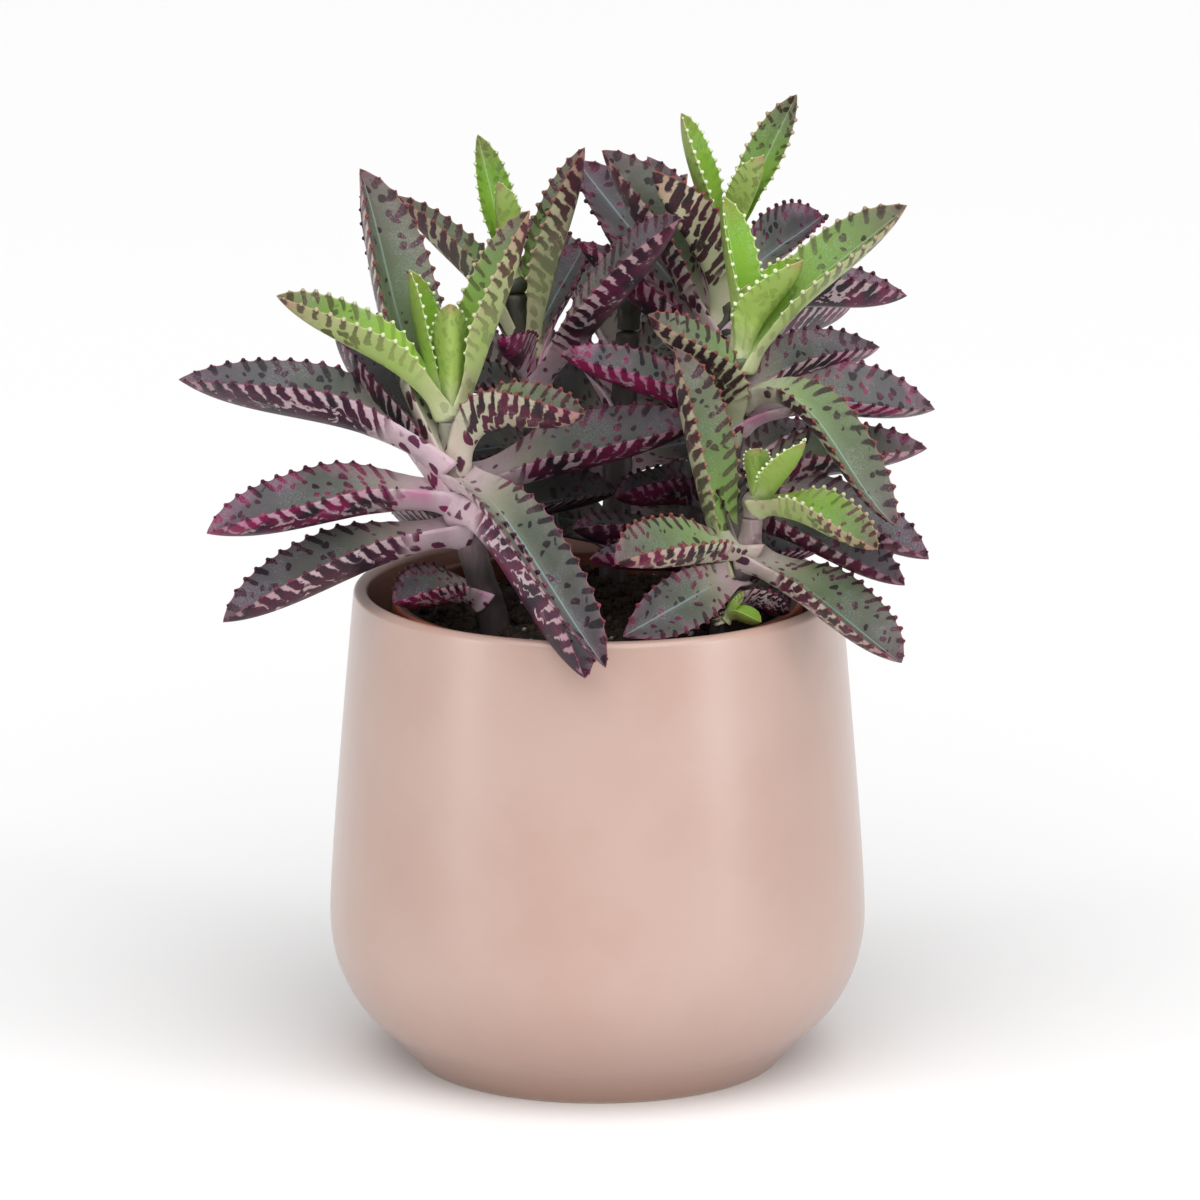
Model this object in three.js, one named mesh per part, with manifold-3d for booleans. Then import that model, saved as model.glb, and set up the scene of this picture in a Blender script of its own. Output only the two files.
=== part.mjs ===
// Potted pink butterflies kalanchoe: six leafy stems rooted in a plastic grow pot that
// stands inside a plain ceramic cover pot. Millimetres, +Z up, +X to the right and +Y to
// the back. The origin is the centre of the ceramic foot, on the table.
import * as THREE from "three";
import { mergeVertices } from "three/addons/utils/BufferGeometryUtils.js";
import Module from "manifold-3d";

const wasm = await Module();
wasm.setup();

// Driving dimensions
const POT_HEIGHT = 117.5;
const BELLY_RADIUS = 65;
const BELLY_HEIGHT = 37;
const RIM_RADIUS = 59;
const FOOT_RADIUS = 44.3;
const FOOT_HEIGHT = 9;
const FOOT_ROUND = 1.5;
const FOOT_FLARE = 8;
const POT_WALL = 3.5;
const POT_FLOOR = 6;
const POT_SIDES = 32;
const SEAT_GAP = 0.3;
const GROW_POT_HEIGHT = 108.2;
const GROW_POT_RIM_RADIUS = 49.5;
const GROW_POT_RIM_DEPTH = 9;
const GROW_POT_RIM_STEP = 1.6;
const GROW_POT_BASE_RADIUS = 38;
const GROW_POT_WALL = 1.2;
const SOIL_TOP = 109;
const SOIL_MOUND = 2.4;
const INNER_SIDES = 32;
const STEM_HOLE_GAP = 0.5;
const STEM_SIDES = 8;

// Colours, as a first reading of the photograph
const CLAY_PINK = 0xd9b8a9;
const TERRACOTTA = 0xb5623a;
const PEAT = 0x2a211c;
const LEAF_GREY = 0x7d7f74;
const LEAF_GREEN = 0x8fa35f;

const UP = new THREE.Vector3(0, 0, 1);

// A closed solid for joining and cutting, from any geometry whose faces close on each other.
function solidOf(geometry) {
  const bare = geometry.index ? geometry.toNonIndexed() : geometry.clone();
  for (const name of Object.keys(bare.attributes)) {
    if (name !== "position") bare.deleteAttribute(name);
  }
  const merged = mergeVertices(bare, 1e-4);
  const corners = merged.index.array;
  const kept = [];
  for (let i = 0; i < corners.length; i += 3) {
    const [a, b, c] = corners.slice(i, i + 3);
    if (a !== b && b !== c && c !== a) kept.push(a, b, c);
  }
  return new wasm.Manifold(
    new wasm.Mesh({
      numProp: 3,
      vertProperties: merged.attributes.position.array,
      triVerts: new Uint32Array(kept),
    }),
  );
}

function geometryOf(solid) {
  const { vertProperties, triVerts, numProp } = solid.getMesh();
  const places = new Float32Array((vertProperties.length / numProp) * 3);
  for (let i = 0; i < places.length / 3; i++) {
    places.set(vertProperties.subarray(i * numProp, i * numProp + 3), i * 3);
  }
  const geometry = new THREE.BufferGeometry();
  geometry.setAttribute("position", new THREE.BufferAttribute(places, 3));
  geometry.setIndex(new THREE.BufferAttribute(new Uint32Array(triVerts), 1));
  geometry.computeVertexNormals();
  return geometry;
}

// Triangles given as points become one geometry.
function geometryFrom(triangles) {
  const geometry = new THREE.BufferGeometry();
  geometry.setFromPoints(triangles.flat());
  return geometry;
}

function mesh(name, geometry, color, roughness) {
  const made = new THREE.Mesh(geometry, new THREE.MeshStandardMaterial({ color, roughness, metalness: 0 }));
  made.name = name;
  return made;
}

// Turns a path of radius and height about the +Z axis.
function turned(path, curveSteps, sides) {
  const geometry = new THREE.LatheGeometry(path.getPoints(curveSteps), sides);
  geometry.rotateX(Math.PI / 2);
  return geometry;
}

// The ceramic cover pot: a short cone foot, a round belly and a wall that leans in to a
// rounded rim, open at the top and glazed inside and out. The curves' handles are set as
// shares of the wall's height above and below the belly.
function coverPot() {
  const lip = POT_WALL / 2;
  const inner = BELLY_RADIUS - POT_WALL;
  const rimZ = POT_HEIGHT - lip;
  const [above, below] = [rimZ - BELLY_HEIGHT, BELLY_HEIGHT - FOOT_HEIGHT];
  const lowHandle = BELLY_HEIGHT + 0.14 * above;
  const highHandle = BELLY_HEIGHT + 0.67 * above;
  const leanIn = RIM_RADIUS + 2.3;
  const path = new THREE.Path();
  path.moveTo(0, 0);
  path.lineTo(FOOT_RADIUS - FOOT_ROUND, 0);
  path.quadraticCurveTo(FOOT_RADIUS, 0, FOOT_RADIUS + 0.6, 1);
  path.lineTo(FOOT_RADIUS + FOOT_FLARE, FOOT_HEIGHT);
  path.bezierCurveTo(57.5, 13, BELLY_RADIUS, BELLY_HEIGHT - 0.54 * below, BELLY_RADIUS, BELLY_HEIGHT);
  path.bezierCurveTo(BELLY_RADIUS, lowHandle, leanIn, highHandle, RIM_RADIUS, rimZ);
  path.absarc(RIM_RADIUS - lip, rimZ, lip, 0, Math.PI, false);
  path.bezierCurveTo(leanIn - POT_WALL, highHandle, inner, lowHandle, inner, BELLY_HEIGHT);
  path.bezierCurveTo(inner, BELLY_HEIGHT - 0.54 * below, 56, POT_FLOOR, FOOT_RADIUS, POT_FLOOR);
  path.lineTo(0, POT_FLOOR);
  return mesh("cover_pot", turned(path, 4, POT_SIDES), CLAY_PINK, 0.45);
}

// The plastic grow pot that stands loose inside: a thin cone with a thicker rim band and a
// ring of drain holes in its base.
const DRAIN_HOLES = 6;
const DRAIN_HOLE_RADIUS = 3.5;
const DRAIN_RING_RADIUS = 25;
const growPotBase = POT_FLOOR + SEAT_GAP;
const growPotTop = growPotBase + GROW_POT_HEIGHT;
const growPotSlope = (GROW_POT_RIM_RADIUS - GROW_POT_RIM_STEP - GROW_POT_BASE_RADIUS) / GROW_POT_HEIGHT;
const growPotOuter = (z) => GROW_POT_BASE_RADIUS + growPotSlope * (z - growPotBase);
const growPotInner = (z) => growPotOuter(z) - GROW_POT_WALL;

function growPot() {
  const rimFoot = growPotTop - GROW_POT_RIM_DEPTH;
  const rimEdge = 1;
  const floor = growPotBase + GROW_POT_WALL;
  const path = new THREE.Path();
  path.moveTo(0, growPotBase);
  path.lineTo(growPotOuter(growPotBase), growPotBase);
  path.lineTo(growPotOuter(rimFoot), rimFoot);
  path.lineTo(GROW_POT_RIM_RADIUS, rimFoot);
  path.lineTo(GROW_POT_RIM_RADIUS, growPotTop - rimEdge);
  path.quadraticCurveTo(GROW_POT_RIM_RADIUS, growPotTop, GROW_POT_RIM_RADIUS - rimEdge, growPotTop);
  path.lineTo(growPotInner(growPotTop), growPotTop);
  path.lineTo(growPotInner(floor), floor);
  path.lineTo(0, floor);
  let solid = solidOf(turned(path, 2, INNER_SIDES));
  for (let i = 0; i < DRAIN_HOLES; i++) {
    const angle = (i / DRAIN_HOLES) * 2 * Math.PI;
    const drill = new THREE.CylinderGeometry(DRAIN_HOLE_RADIUS, DRAIN_HOLE_RADIUS, 8, 8);
    drill.rotateX(Math.PI / 2);
    drill.translate(DRAIN_RING_RADIUS * Math.cos(angle), DRAIN_RING_RADIUS * Math.sin(angle), growPotBase);
    solid = solid.subtract(solidOf(drill));
  }
  return mesh("grow_pot", geometryOf(solid), TERRACOTTA, 0.6);
}

// The soil's surface: a low mound with a shallow ripple of lumps.
function soilHeight(x, y) {
  const reach = Math.hypot(x, y) / GROW_POT_RIM_RADIUS;
  const mound = SOIL_MOUND * (1 - reach * reach);
  const lumps = 0.7 * Math.sin(x * 0.31 + 1.3) * Math.cos(y * 0.27 - 0.4);
  const ripple = 0.4 * Math.sin(x * 0.63 - y * 0.51);
  return SOIL_TOP + mound + lumps + ripple;
}

// The soil fills the grow pot to just under its rim, and each stem stands in its own hole.
function soil(stems) {
  const sides = INNER_SIDES;
  const rings = 5;
  const floor = growPotBase + GROW_POT_WALL + SEAT_GAP;
  const radiusAt = (z) => growPotInner(z) - SEAT_GAP;
  const ring = (radius, height) =>
    Array.from({ length: sides }, (_, i) => {
      const angle = (i / sides) * 2 * Math.PI;
      const [x, y] = [radius * Math.cos(angle), radius * Math.sin(angle)];
      return new THREE.Vector3(x, y, height ?? soilHeight(x, y));
    });
  const rows = [ring(radiusAt(floor), floor)];
  for (let k = rings; k > 0; k--) rows.push(ring((radiusAt(SOIL_TOP) * k) / rings));
  const under = new THREE.Vector3(0, 0, floor);
  const middle = new THREE.Vector3(0, 0, soilHeight(0, 0));
  const triangles = [];
  for (let i = 0; i < sides; i++) {
    const j = (i + 1) % sides;
    triangles.push([under, rows[0][j], rows[0][i]], [rows[rings][i], rows[rings][j], middle]);
    for (let k = 0; k < rings; k++) {
      const [outer, within] = [rows[k], rows[k + 1]];
      triangles.push([outer[i], outer[j], within[j]], [outer[i], within[j], within[i]]);
    }
  }
  let solid = solidOf(geometryFrom(triangles));
  for (const { foot, radius } of stems) {
    const top = SOIL_TOP + 3 * SOIL_MOUND;
    const hole = radius + STEM_HOLE_GAP;
    const drill = new THREE.CylinderGeometry(hole, hole, top - foot.z + SEAT_GAP, STEM_SIDES);
    drill.rotateX(Math.PI / 2);
    drill.translate(foot.x, foot.y, (top + foot.z - SEAT_GAP) / 2);
    solid = solid.subtract(solidOf(drill));
  }
  return mesh("soil", geometryOf(solid), PEAT, 0.95);
}

// A stem: a rod along a smooth curve, thinner towards its tip. It starts upright in its
// hole in the soil.
function stemCurve(points) {
  return new THREE.CatmullRomCurve3(points.map((p) => new THREE.Vector3(...p)), false, "centripetal");
}

function stemSolid(curve, footRadius, tipRadius, steps) {
  const rings = [];
  for (let i = 0; i <= steps; i++) {
    const u = i / steps;
    const at = curve.getPoint(u);
    const radius = footRadius + (tipRadius - footRadius) * u;
    rings.push(
      Array.from({ length: STEM_SIDES }, (_, k) => {
        const angle = (k / STEM_SIDES) * 2 * Math.PI;
        return new THREE.Vector3(at.x + radius * Math.cos(angle), at.y + radius * Math.sin(angle), at.z);
      }),
    );
  }
  const start = curve.getPoint(0);
  const end = curve.getPoint(1).addScaledVector(UP, tipRadius);
  const triangles = [];
  for (let k = 0; k < STEM_SIDES; k++) {
    const m = (k + 1) % STEM_SIDES;
    triangles.push([start, rings[0][m], rings[0][k]]);
    for (let i = 0; i < steps; i++) {
      triangles.push([rings[i][k], rings[i][m], rings[i + 1][m]]);
      triangles.push([rings[i][k], rings[i + 1][m], rings[i + 1][k]]);
    }
    triangles.push([rings[steps][k], rings[steps][m], end]);
  }
  return solidOf(geometryFrom(triangles));
}

const smooth = (low, high, x) => {
  const t = Math.min(1, Math.max(0, (x - low) / (high - low)));
  return t * t * (3 - 2 * t);
};

// Half the leaf's width, as a share of its widest: a narrow stalk that opens into a long
// blade, widest at its middle, which keeps most of its width until near its blunt tip.
function outline(u) {
  const stalk = 0.4;
  const opened = stalk + (1 - stalk) * smooth(0.06, 0.52, u);
  const taper = u > 0.5 ? Math.pow(1 - Math.pow((u - 0.5) / 0.5, 3), 0.85) : 1;
  return opened * taper;
}

// A leaf's spine leaves the stem steeply and then straightens. It is the line from its foot to
// its tip plus a hump that is highest a third of the way out. There it stands off the line by
// arch towards the leaf's upper face and by sway to its side.
const HUMP_SCALE = 6.75;

function leafSpine(foot, tip, arch, sway, roll) {
  const chord = tip.clone().sub(foot);
  const along = chord.clone().normalize();
  const side = new THREE.Vector3().crossVectors(along, UP).normalize();
  side.applyAxisAngle(along, THREE.MathUtils.degToRad(roll));
  const face = new THREE.Vector3().crossVectors(side, along);
  const hump = face.multiplyScalar(HUMP_SCALE * arch).addScaledVector(side, HUMP_SCALE * sway);
  const point = (u) =>
    foot.clone().addScaledVector(chord, u).addScaledVector(hump, u * (1 - u) * (1 - u));
  const tangent = (u) => chord.clone().addScaledVector(hump, (1 - u) * (1 - 3 * u)).normalize();
  return { point, tangent, side };
}

// A fleshy leaf folded along its midrib like a boat. Each section has four corners: the two
// margins, the valley between them and the keel below it. The margins have twice as many
// steps as the valley and the keel, and every second one is a tooth that leans forwards.
const TOOTH_LENGTH = 0.9;
const NOTCH_DEPTH = 0.3;
const TOOTH_LEAN = 0.25;
const TEETH_START = 0.22;
const FULL_TEETH_WIDTH = 14;

function leafSolid({ spine, width, thickness, fold, segments }) {
  const rise = THREE.MathUtils.degToRad(fold);
  const bite = Math.min(1, width / FULL_TEETH_WIDTH);
  const section = (u) => {
    const at = spine.point(u);
    const along = spine.tangent(u);
    const side = spine.side.clone().addScaledVector(along, -spine.side.dot(along)).normalize();
    return { at, side, face: new THREE.Vector3().crossVectors(side, along) };
  };
  const lean = (u) => rise * (0.55 + 0.45 * smooth(0.1, 0.4, u));
  const flesh = (u) => thickness * (1 - 0.2 * u) * (1 - Math.pow(u, 6));
  const margin = (across) =>
    Array.from({ length: 2 * segments }, (_, j) => {
      const isTooth = j % 2 === 1;
      const u = (j + (isTooth ? TOOTH_LEAN : 0)) / (2 * segments);
      const { at, side, face } = section(u);
      const fade = u > TEETH_START ? Math.min(1, 6 * (1 - u)) : 0;
      const reach = 0.5 * width * outline(u) + fade * bite * (isTooth ? TOOTH_LENGTH : -NOTCH_DEPTH);
      at.addScaledVector(side, across * Math.cos(lean(u)) * reach);
      return at.addScaledVector(face, Math.sin(lean(u)) * reach);
    });
  const line = (drop) =>
    Array.from({ length: segments }, (_, i) => {
      const u = i / segments;
      const { at, face } = section(u);
      return at.addScaledVector(face, -drop * flesh(u));
    });
  const [left, right, valley, keel] = [margin(-1), margin(1), line(0), line(1)];
  const tip = spine.point(1);
  const triangles = [];
  // A strip of triangles between the valley or the keel and a margin with its extra teeth.
  const strip = (middle, edge, flip) => {
    const add = (a, b, c) => triangles.push(flip ? [a, c, b] : [a, b, c]);
    for (let i = 0; i < segments; i++) {
      const next = i + 1 < segments ? middle[i + 1] : tip;
      add(middle[i], edge[2 * i], edge[2 * i + 1]);
      add(middle[i], edge[2 * i + 1], next);
      if (i + 1 < segments) add(next, edge[2 * i + 1], edge[2 * i + 2]);
    }
  };
  strip(valley, left, true);
  strip(valley, right, false);
  strip(keel, left, false);
  strip(keel, right, true);
  triangles.push([valley[0], left[0], keel[0]], [valley[0], keel[0], right[0]]);
  return solidOf(geometryFrom(triangles));
}

// The leafy stems. Each stem is a few points from the bottom of its hole to its tip. Above
// the height crownFrom it is the soft green crown, a piece of its own that sits SEAT_GAP
// above the woody part. Each leaf is one row: the height at which it leaves the stem, the
// place of its tip, its width, the arch and sway of its spine, its roll about its own length,
// how steeply its two halves fold up, and its age from 0, new and green, to 1, old and purple.
const LEFT = {
  name: "left_stem",
  radius: [4.2, 2.8],
  crownFrom: 162,
  stem: [
    [-24.5, -14, 82],
    [-24.5, -14, 110],
    [-28.5, -15, 124],
    [-33, -16, 142],
    [-35, -16, 158],
    [-35, -16, 167],
  ],
  leaves: [
    [152, -100, -17, 172, 25, 4.5, 0, -5, 30, 0.9],
    [144, -93, -33, 138, 26, 3, 0, -5, 30, 0.95],
    [136, -89, -40, 118, 24, 3, 0, 0, 30, 0.9],
    [148, 2, -77, 116, 19, 9.5, 2, 10, 45, 0.8],
    [141, -3, -71, 112, 22, 5, 6, -35, 35, 0.9],
    [147, 25, -22, 162, 24, 0, 0, 15, 30, 0.95],
    [149, -3, -46, 170, 17, 9, 0, 5, 50, 0.6],
    [154, -57, 5, 219, 24, -1, -3, 0, 20, 0.65],
    [151, -57, 21, 210, 19, -3, 0, 0, 35, 0.9],
    [164, -76, -34, 196, 16, 3.5, 0, -20, 40, 0.25],
    [166, -45, -13, 198, 12, -1, 0, 0, 30, 0],
    [166, -35, -24, 192, 11, -1, 0, 0, 40, 0.1],
    [164, -16, -21, 214, 16, 0, 0, 35, 45, 0.3],
    [143, -63, 0, 178, 24, 1, 0, 0, 40, 0.95],
    [119, -49, -24, 119, 19, 2, 0, -5, 25, 1],
    [136, 5, 4, 140, 18, 2, 0, 25, 35, 1],
    [132, -49, 8, 133, 14, 2, 0, 0, 35, 1],
  ],
};
const BACK_LEFT = {
  name: "back_left_stem",
  radius: [4, 2.6],
  crownFrom: 185.5,
  stem: [[-12, 16, 82], [-12, 16, 110], [-13.5, 18, 138], [-17, 20, 166], [-20.5, 20, 189]],
  leaves: [
    [188, -29, 27, 223, 11, -0.5, 0, -30, 40, 0.15],
    [188, -24, 14, 214, 9, 0, 0, 0, 40, 0.1],
    [171, -49, 27, 208, 12, 3.5, 0, -10, 50, 0.45],
    [170, -3, 16, 222, 15, 1.5, 0, 25, 40, 0.5],
    [164, 20, -20, 212, 21, 0, 0, 5, 20, 0.9],
    [165, -3, 40, 194, 17, 3, 0, 0, 35, 0.95],
    [164, -24, -4, 179, 13, 2, 0, 0, 45, 0.95],
    [156, -58, 42, 174, 19, 4, 0, 0, 40, 0.9],
    [160, -24, 66, 184, 18, 4, 0, 0, 40, 0.9],
    [144, -48, 52, 144, 18, 5, 0, 0, 40, 1],
    [127, -42, 31, 124, 16, 3, 0, 0, 35, 1],
    [145, -38, 8, 148, 17, 3, 0, -30, 35, 1],
    [159, -36, 13, 165, 13, 2, 0, -20, 35, 1],
  ],
};
const BACK_RIGHT = {
  name: "back_right_stem",
  radius: [4.2, 2.6],
  crownFrom: 197,
  stem: [[20, 12, 82], [20, 12, 110], [24, 14, 138], [29, 15, 168], [30.5, 15, 188], [31, 15, 201]],
  leaves: [
    [199, 20, 13, 231, 13, 0, 0, -25, 20, 0.1],
    [199, 48, 21, 234, 13, 0, 0, 55, 50, 0.3],
    [200, 40, 6, 222, 10, 0, 0, 0, 40, 0.15],
    [178, 13, -8, 221, 15, 5, 0, -10, 50, 0.5],
    [178, 12, 35, 216, 13, 3, 0, 0, 40, 0.8],
    [184, 55, 52, 198, 18, 3.5, 0, 25, 50, 0.9],
    [178, 1, 7, 223, 20, 0, 0, -45, 20, 0.7],
    [164, -5, 20, 198, 16, 3, 0, 0, 40, 0.95],
    [166, 0, 34, 201, 15, 3, 0, 0, 40, 0.95],
    [177, 75, 23, 184, 18, 6, 0, 5, 40, 0.9],
    [166, 62, 56, 174, 18, 4, 0, 0, 40, 0.9],
    [156, 50, 62, 168, 18, 4, 0, 0, 40, 1],
    [128, 46, 33, 126, 16, 3, 0, 0, 35, 1],
    [171, -5, 40, 214, 19, 3, 0, -30, 30, 0.9],
  ],
};
const RIGHT = {
  name: "right_stem",
  radius: [4.2, 2.8],
  crownFrom: 170.5,
  stem: [[26, -6, 82], [26, -6, 110], [29, -6, 138], [32.5, -6, 160], [34, -5, 175]],
  leaves: [
    [177, 30, -3, 214, 12, 2, 0, -15, 40, 0],
    [175, 49, -12, 200, 15, 2.5, 0, 15, 45, 0.1],
    [173, 74, -5, 212, 18, 3, 0, 25, 30, 0.3],
    [155, 12, -27, 190, 16, 7, 0, -10, 40, 0.5],
    [174, 36, -11, 194, 6, 0, 0, 0, 40, 0],
    [161, 68, 6, 175, 17, 6, 0, 15, 35, 0.95],
    [159, 81, -5, 162, 20, 5.5, 0, 25, 35, 0.85],
    [164, 71, -43, 142, 16, 13, 0, 10, 40, 0.6],
    [157, -9, -16, 178, 16, 3, 0, -20, 35, 0.95],
    [141, 79, -12, 154, 19, 3, 0, 15, 35, 0.75],
    [143, 79, -30, 131, 19, 4, 0, 5, 35, 0.95],
    [136, 73, -40, 127, 17, 4, 0, 5, 35, 1],
    [138, 4, -16, 143, 16, 3, 0, 0, 40, 1],
    [122, -6, -24, 137, 17, 4, 0, 0, 35, 1],
    [144, 66, 24, 148, 18, 5, 0, 0, 40, 1],
    [122, 54, 6, 125, 15, 2, 0, 20, 35, 1],
  ],
};
const FRONT_RIGHT = {
  name: "front_right_stem",
  radius: [3.6, 2.4],
  crownFrom: 140.5,
  stem: [[30, -24, 88], [30, -24, 110], [32, -25, 122], [36, -26, 134], [38, -26, 146]],
  leaves: [
    [127, 18, -31, 183, 18, -1, 0, -50, 35, 0.45],
    [145, 49, -49, 164, 10, 0, 0, 20, 25, 0],
    [145, 38, -34, 159, 8, 0, 0, 0, 40, 0.1],
    [144, 66, -58, 140, 15, 2.5, 0, 5, 40, 0.3],
    [134, 4, -59, 137, 20, 0.5, 0, -15, 40, 0.6],
    [132, 72, -52, 111, 22, 1.5, 0, 0, 25, 0.7],
    [127, 6, -50, 117, 17, 3, 0, -60, 40, 0.8],
    [120, 46, -26, 117, 15, 2, 0, 0, 35, 1],
    [132, 22, -12, 159, 13, 1, 0, 0, 40, 0.8],
    [125, -2, -30, 131, 14, 3, 0, 0, 40, 1],
  ],
};
const BACK = {
  name: "back_stem",
  radius: [4, 2.6],
  crownFrom: 173,
  stem: [[4, 32, 82], [4, 32, 110], [5, 34, 138], [7, 35, 166], [8, 35, 180]],
  leaves: [
    [179, 22, 44, 210, 12, 0, 0, 0, 40, 0.3],
    [179, 6, 50, 206, 11, 0, 0, 0, 40, 0.2],
    [164, -20, 68, 194, 17, 3, 0, 0, 40, 0.8],
    [162, 22, 76, 190, 18, 4, 0, 0, 40, 0.9],
    [154, -30, 78, 158, 19, 6, 0, 0, 40, 0.95],
    [148, 10, 92, 156, 19, 6, 0, 0, 40, 1],
    [144, 48, 74, 144, 18, 6, 0, 0, 40, 1],
    [122, -24, 46, 125, 22, 3, 0, -40, 30, 1],
    [127, 34, 46, 129, 19, 3, 0, 40, 30, 1],
    [136, -23, 50, 140, 19, 3, 0, -40, 30, 1],
    [139, 34, 54, 143, 19, 3, 0, 40, 30, 1],
    [151, -20, 48, 156, 18, 3, 0, -45, 30, 1],
    [153, 28, 46, 159, 17, 3, 0, 45, 30, 1],
    [162, 27, 46, 174, 15, 3, 0, 45, 30, 0.9],
  ],
};
const SEEDLING = {
  name: "seedling",
  radius: [1, 0.8],
  stem: [[29, -32, 103], [29, -32, 110], [30, -33, 119]],
  leaves: [
    [118, 39, -36, 117, 7, 1.5, 0, 0, 25, 0],
    [118.5, 35, -33, 124, 4, 0, 0, 0, 30, 0.2],
    [116.5, 26, -37, 118.5, 6, 1.5, 0, 0, 25, 0.5],
  ],
};
const SHOOTS = [LEFT, BACK_LEFT, BACK_RIGHT, RIGHT, FRONT_RIGHT, BACK, SEEDLING];
const CROWN_AGE = 0.32;
const STEM_STEPS = 7;
const THINNEST_LEAF = 1.3;
const THICKNESS_FOR_WIDTH = 0.14;
const LARGE_LEAF_WIDTH = 16;
const LARGE_LEAF_TEETH = 7;
const SMALL_LEAF_TEETH = 6;

// The point of a stem at a given height.
function stemAt(curve, height) {
  let low = 0;
  let high = 1;
  for (let i = 0; i < 24; i++) {
    const middle = (low + high) / 2;
    if (curve.getPoint(middle).z < height) low = middle;
    else high = middle;
  }
  return curve.getPoint(low);
}

function leavesOf(shoot) {
  const curve = stemCurve(shoot.stem);
  return shoot.leaves.map(([height, x, y, z, width, arch, sway, roll, fold, age]) => {
    const spine = leafSpine(stemAt(curve, height), new THREE.Vector3(x, y, z), arch, sway, roll);
    const thickness = THINNEST_LEAF + THICKNESS_FOR_WIDTH * width;
    const segments = width > LARGE_LEAF_WIDTH ? LARGE_LEAF_TEETH : SMALL_LEAF_TEETH;
    return { spine, width, thickness, fold, segments, age };
  });
}

// Joins leaves and stem into one body. Small hollows closed in among the leaf bases are
// filled, and edges shorter than JOIN_DETAIL are taken out.
const JOIN_DETAIL = 0.15;

function grown(parts) {
  const shells = wasm.Manifold.union(parts).simplify(JOIN_DETAIL).decompose();
  return geometryOf(wasm.Manifold.union(shells.filter((shell) => shell.volume() > 0)));
}

function leafyStem(shoot) {
  const stem = stemSolid(stemCurve(shoot.stem), ...shoot.radius, STEM_STEPS);
  const leaves = leavesOf(shoot);
  const solids = (chosen) => chosen.map(leafSolid);
  if (!shoot.crownFrom) return [mesh(shoot.name, grown([stem, ...solids(leaves)]), LEAF_GREEN, 0.5)];
  const woody = stem.trimByPlane([0, 0, -1], -(shoot.crownFrom - SEAT_GAP));
  const soft = stem.trimByPlane([0, 0, 1], shoot.crownFrom);
  const old = grown([woody, ...solids(leaves.filter((leaf) => leaf.age >= CROWN_AGE))]);
  const young = grown([soft, ...solids(leaves.filter((leaf) => leaf.age < CROWN_AGE))]);
  return [
    mesh(`${shoot.name}_leafy`, old, LEAF_GREY, 0.55),
    mesh(`${shoot.name}_crown`, young, LEAF_GREEN, 0.5),
  ];
}

const part = new THREE.Group();
part.add(coverPot(), growPot());
const stemFeet = SHOOTS.map(({ stem, radius }) => {
  return { foot: new THREE.Vector3(...stem[0]), radius: radius[0] };
});
part.add(soil(stemFeet));
for (const shoot of SHOOTS) part.add(...leafyStem(shoot));

export default part;
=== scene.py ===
"""A potted pink butterflies kalanchoe: six leafy stems and a seedling in a plastic grow pot that
stands inside a pink glazed cover pot. Lengths are millimetres, +Z is up, +X is to the right and
+Y is to the back. The origin is the centre of the pot's foot."""

import math

import bpy
import numpy as np
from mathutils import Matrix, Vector


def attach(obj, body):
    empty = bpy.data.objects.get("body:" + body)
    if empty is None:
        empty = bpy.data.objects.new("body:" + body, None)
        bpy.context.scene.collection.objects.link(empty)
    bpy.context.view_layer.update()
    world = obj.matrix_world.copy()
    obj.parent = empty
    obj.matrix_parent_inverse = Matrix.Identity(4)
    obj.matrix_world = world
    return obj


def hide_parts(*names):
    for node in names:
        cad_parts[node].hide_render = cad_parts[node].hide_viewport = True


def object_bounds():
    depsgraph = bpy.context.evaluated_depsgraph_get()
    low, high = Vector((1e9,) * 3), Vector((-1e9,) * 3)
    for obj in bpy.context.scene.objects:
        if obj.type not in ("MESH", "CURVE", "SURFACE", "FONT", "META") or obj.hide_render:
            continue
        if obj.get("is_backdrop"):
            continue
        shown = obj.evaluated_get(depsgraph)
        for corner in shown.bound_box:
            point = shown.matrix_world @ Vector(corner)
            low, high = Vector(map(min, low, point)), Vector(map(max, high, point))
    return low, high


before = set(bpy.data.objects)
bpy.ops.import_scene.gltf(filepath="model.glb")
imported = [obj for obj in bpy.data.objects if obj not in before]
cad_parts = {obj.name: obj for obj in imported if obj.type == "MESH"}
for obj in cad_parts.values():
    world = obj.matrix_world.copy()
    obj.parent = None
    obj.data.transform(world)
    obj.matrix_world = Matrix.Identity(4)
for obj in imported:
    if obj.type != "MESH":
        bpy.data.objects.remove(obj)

cad_low, cad_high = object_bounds()


# The cover pot: one piece of stoneware with a wall of 3.5 mm, cast in a mould, then dipped in a
# satin pink glaze inside and out. It stands on a low cone foot, whose ring is wiped bare.
POT_HEIGHT, POT_WALL, POT_FLOOR = 117.5, 3.5, 6.0
BELLY_RADIUS, BELLY_HEIGHT = 65.0, 37.0
RIM_RADIUS, LIP = 59.0, 1.75
FOOT_RADIUS, FOOT_HEIGHT, FOOT_FLARE = 44.3, 9.0, 8.0
FOOT_RING_INSIDE, FOOT_RECESS = 39.0, 1.2
POT_SIDES, MILLIMETRE = 160, 0.001
# The handles of the wall's curve stand at these shares of the height from the belly to the rim,
# the upper one further out than the rim. The belly's handle is this share of the way to the foot.
WALL_HANDLES, WALL_LEAN, BELLY_HANDLE = (0.14, 0.67), 2.3, 0.54
# Below the first height the glaze is darkened by painted shade, and below the second the clay is bare.
SHADE_PAINTED_BELOW, BARE_RING = 35.0, 0.7


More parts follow.
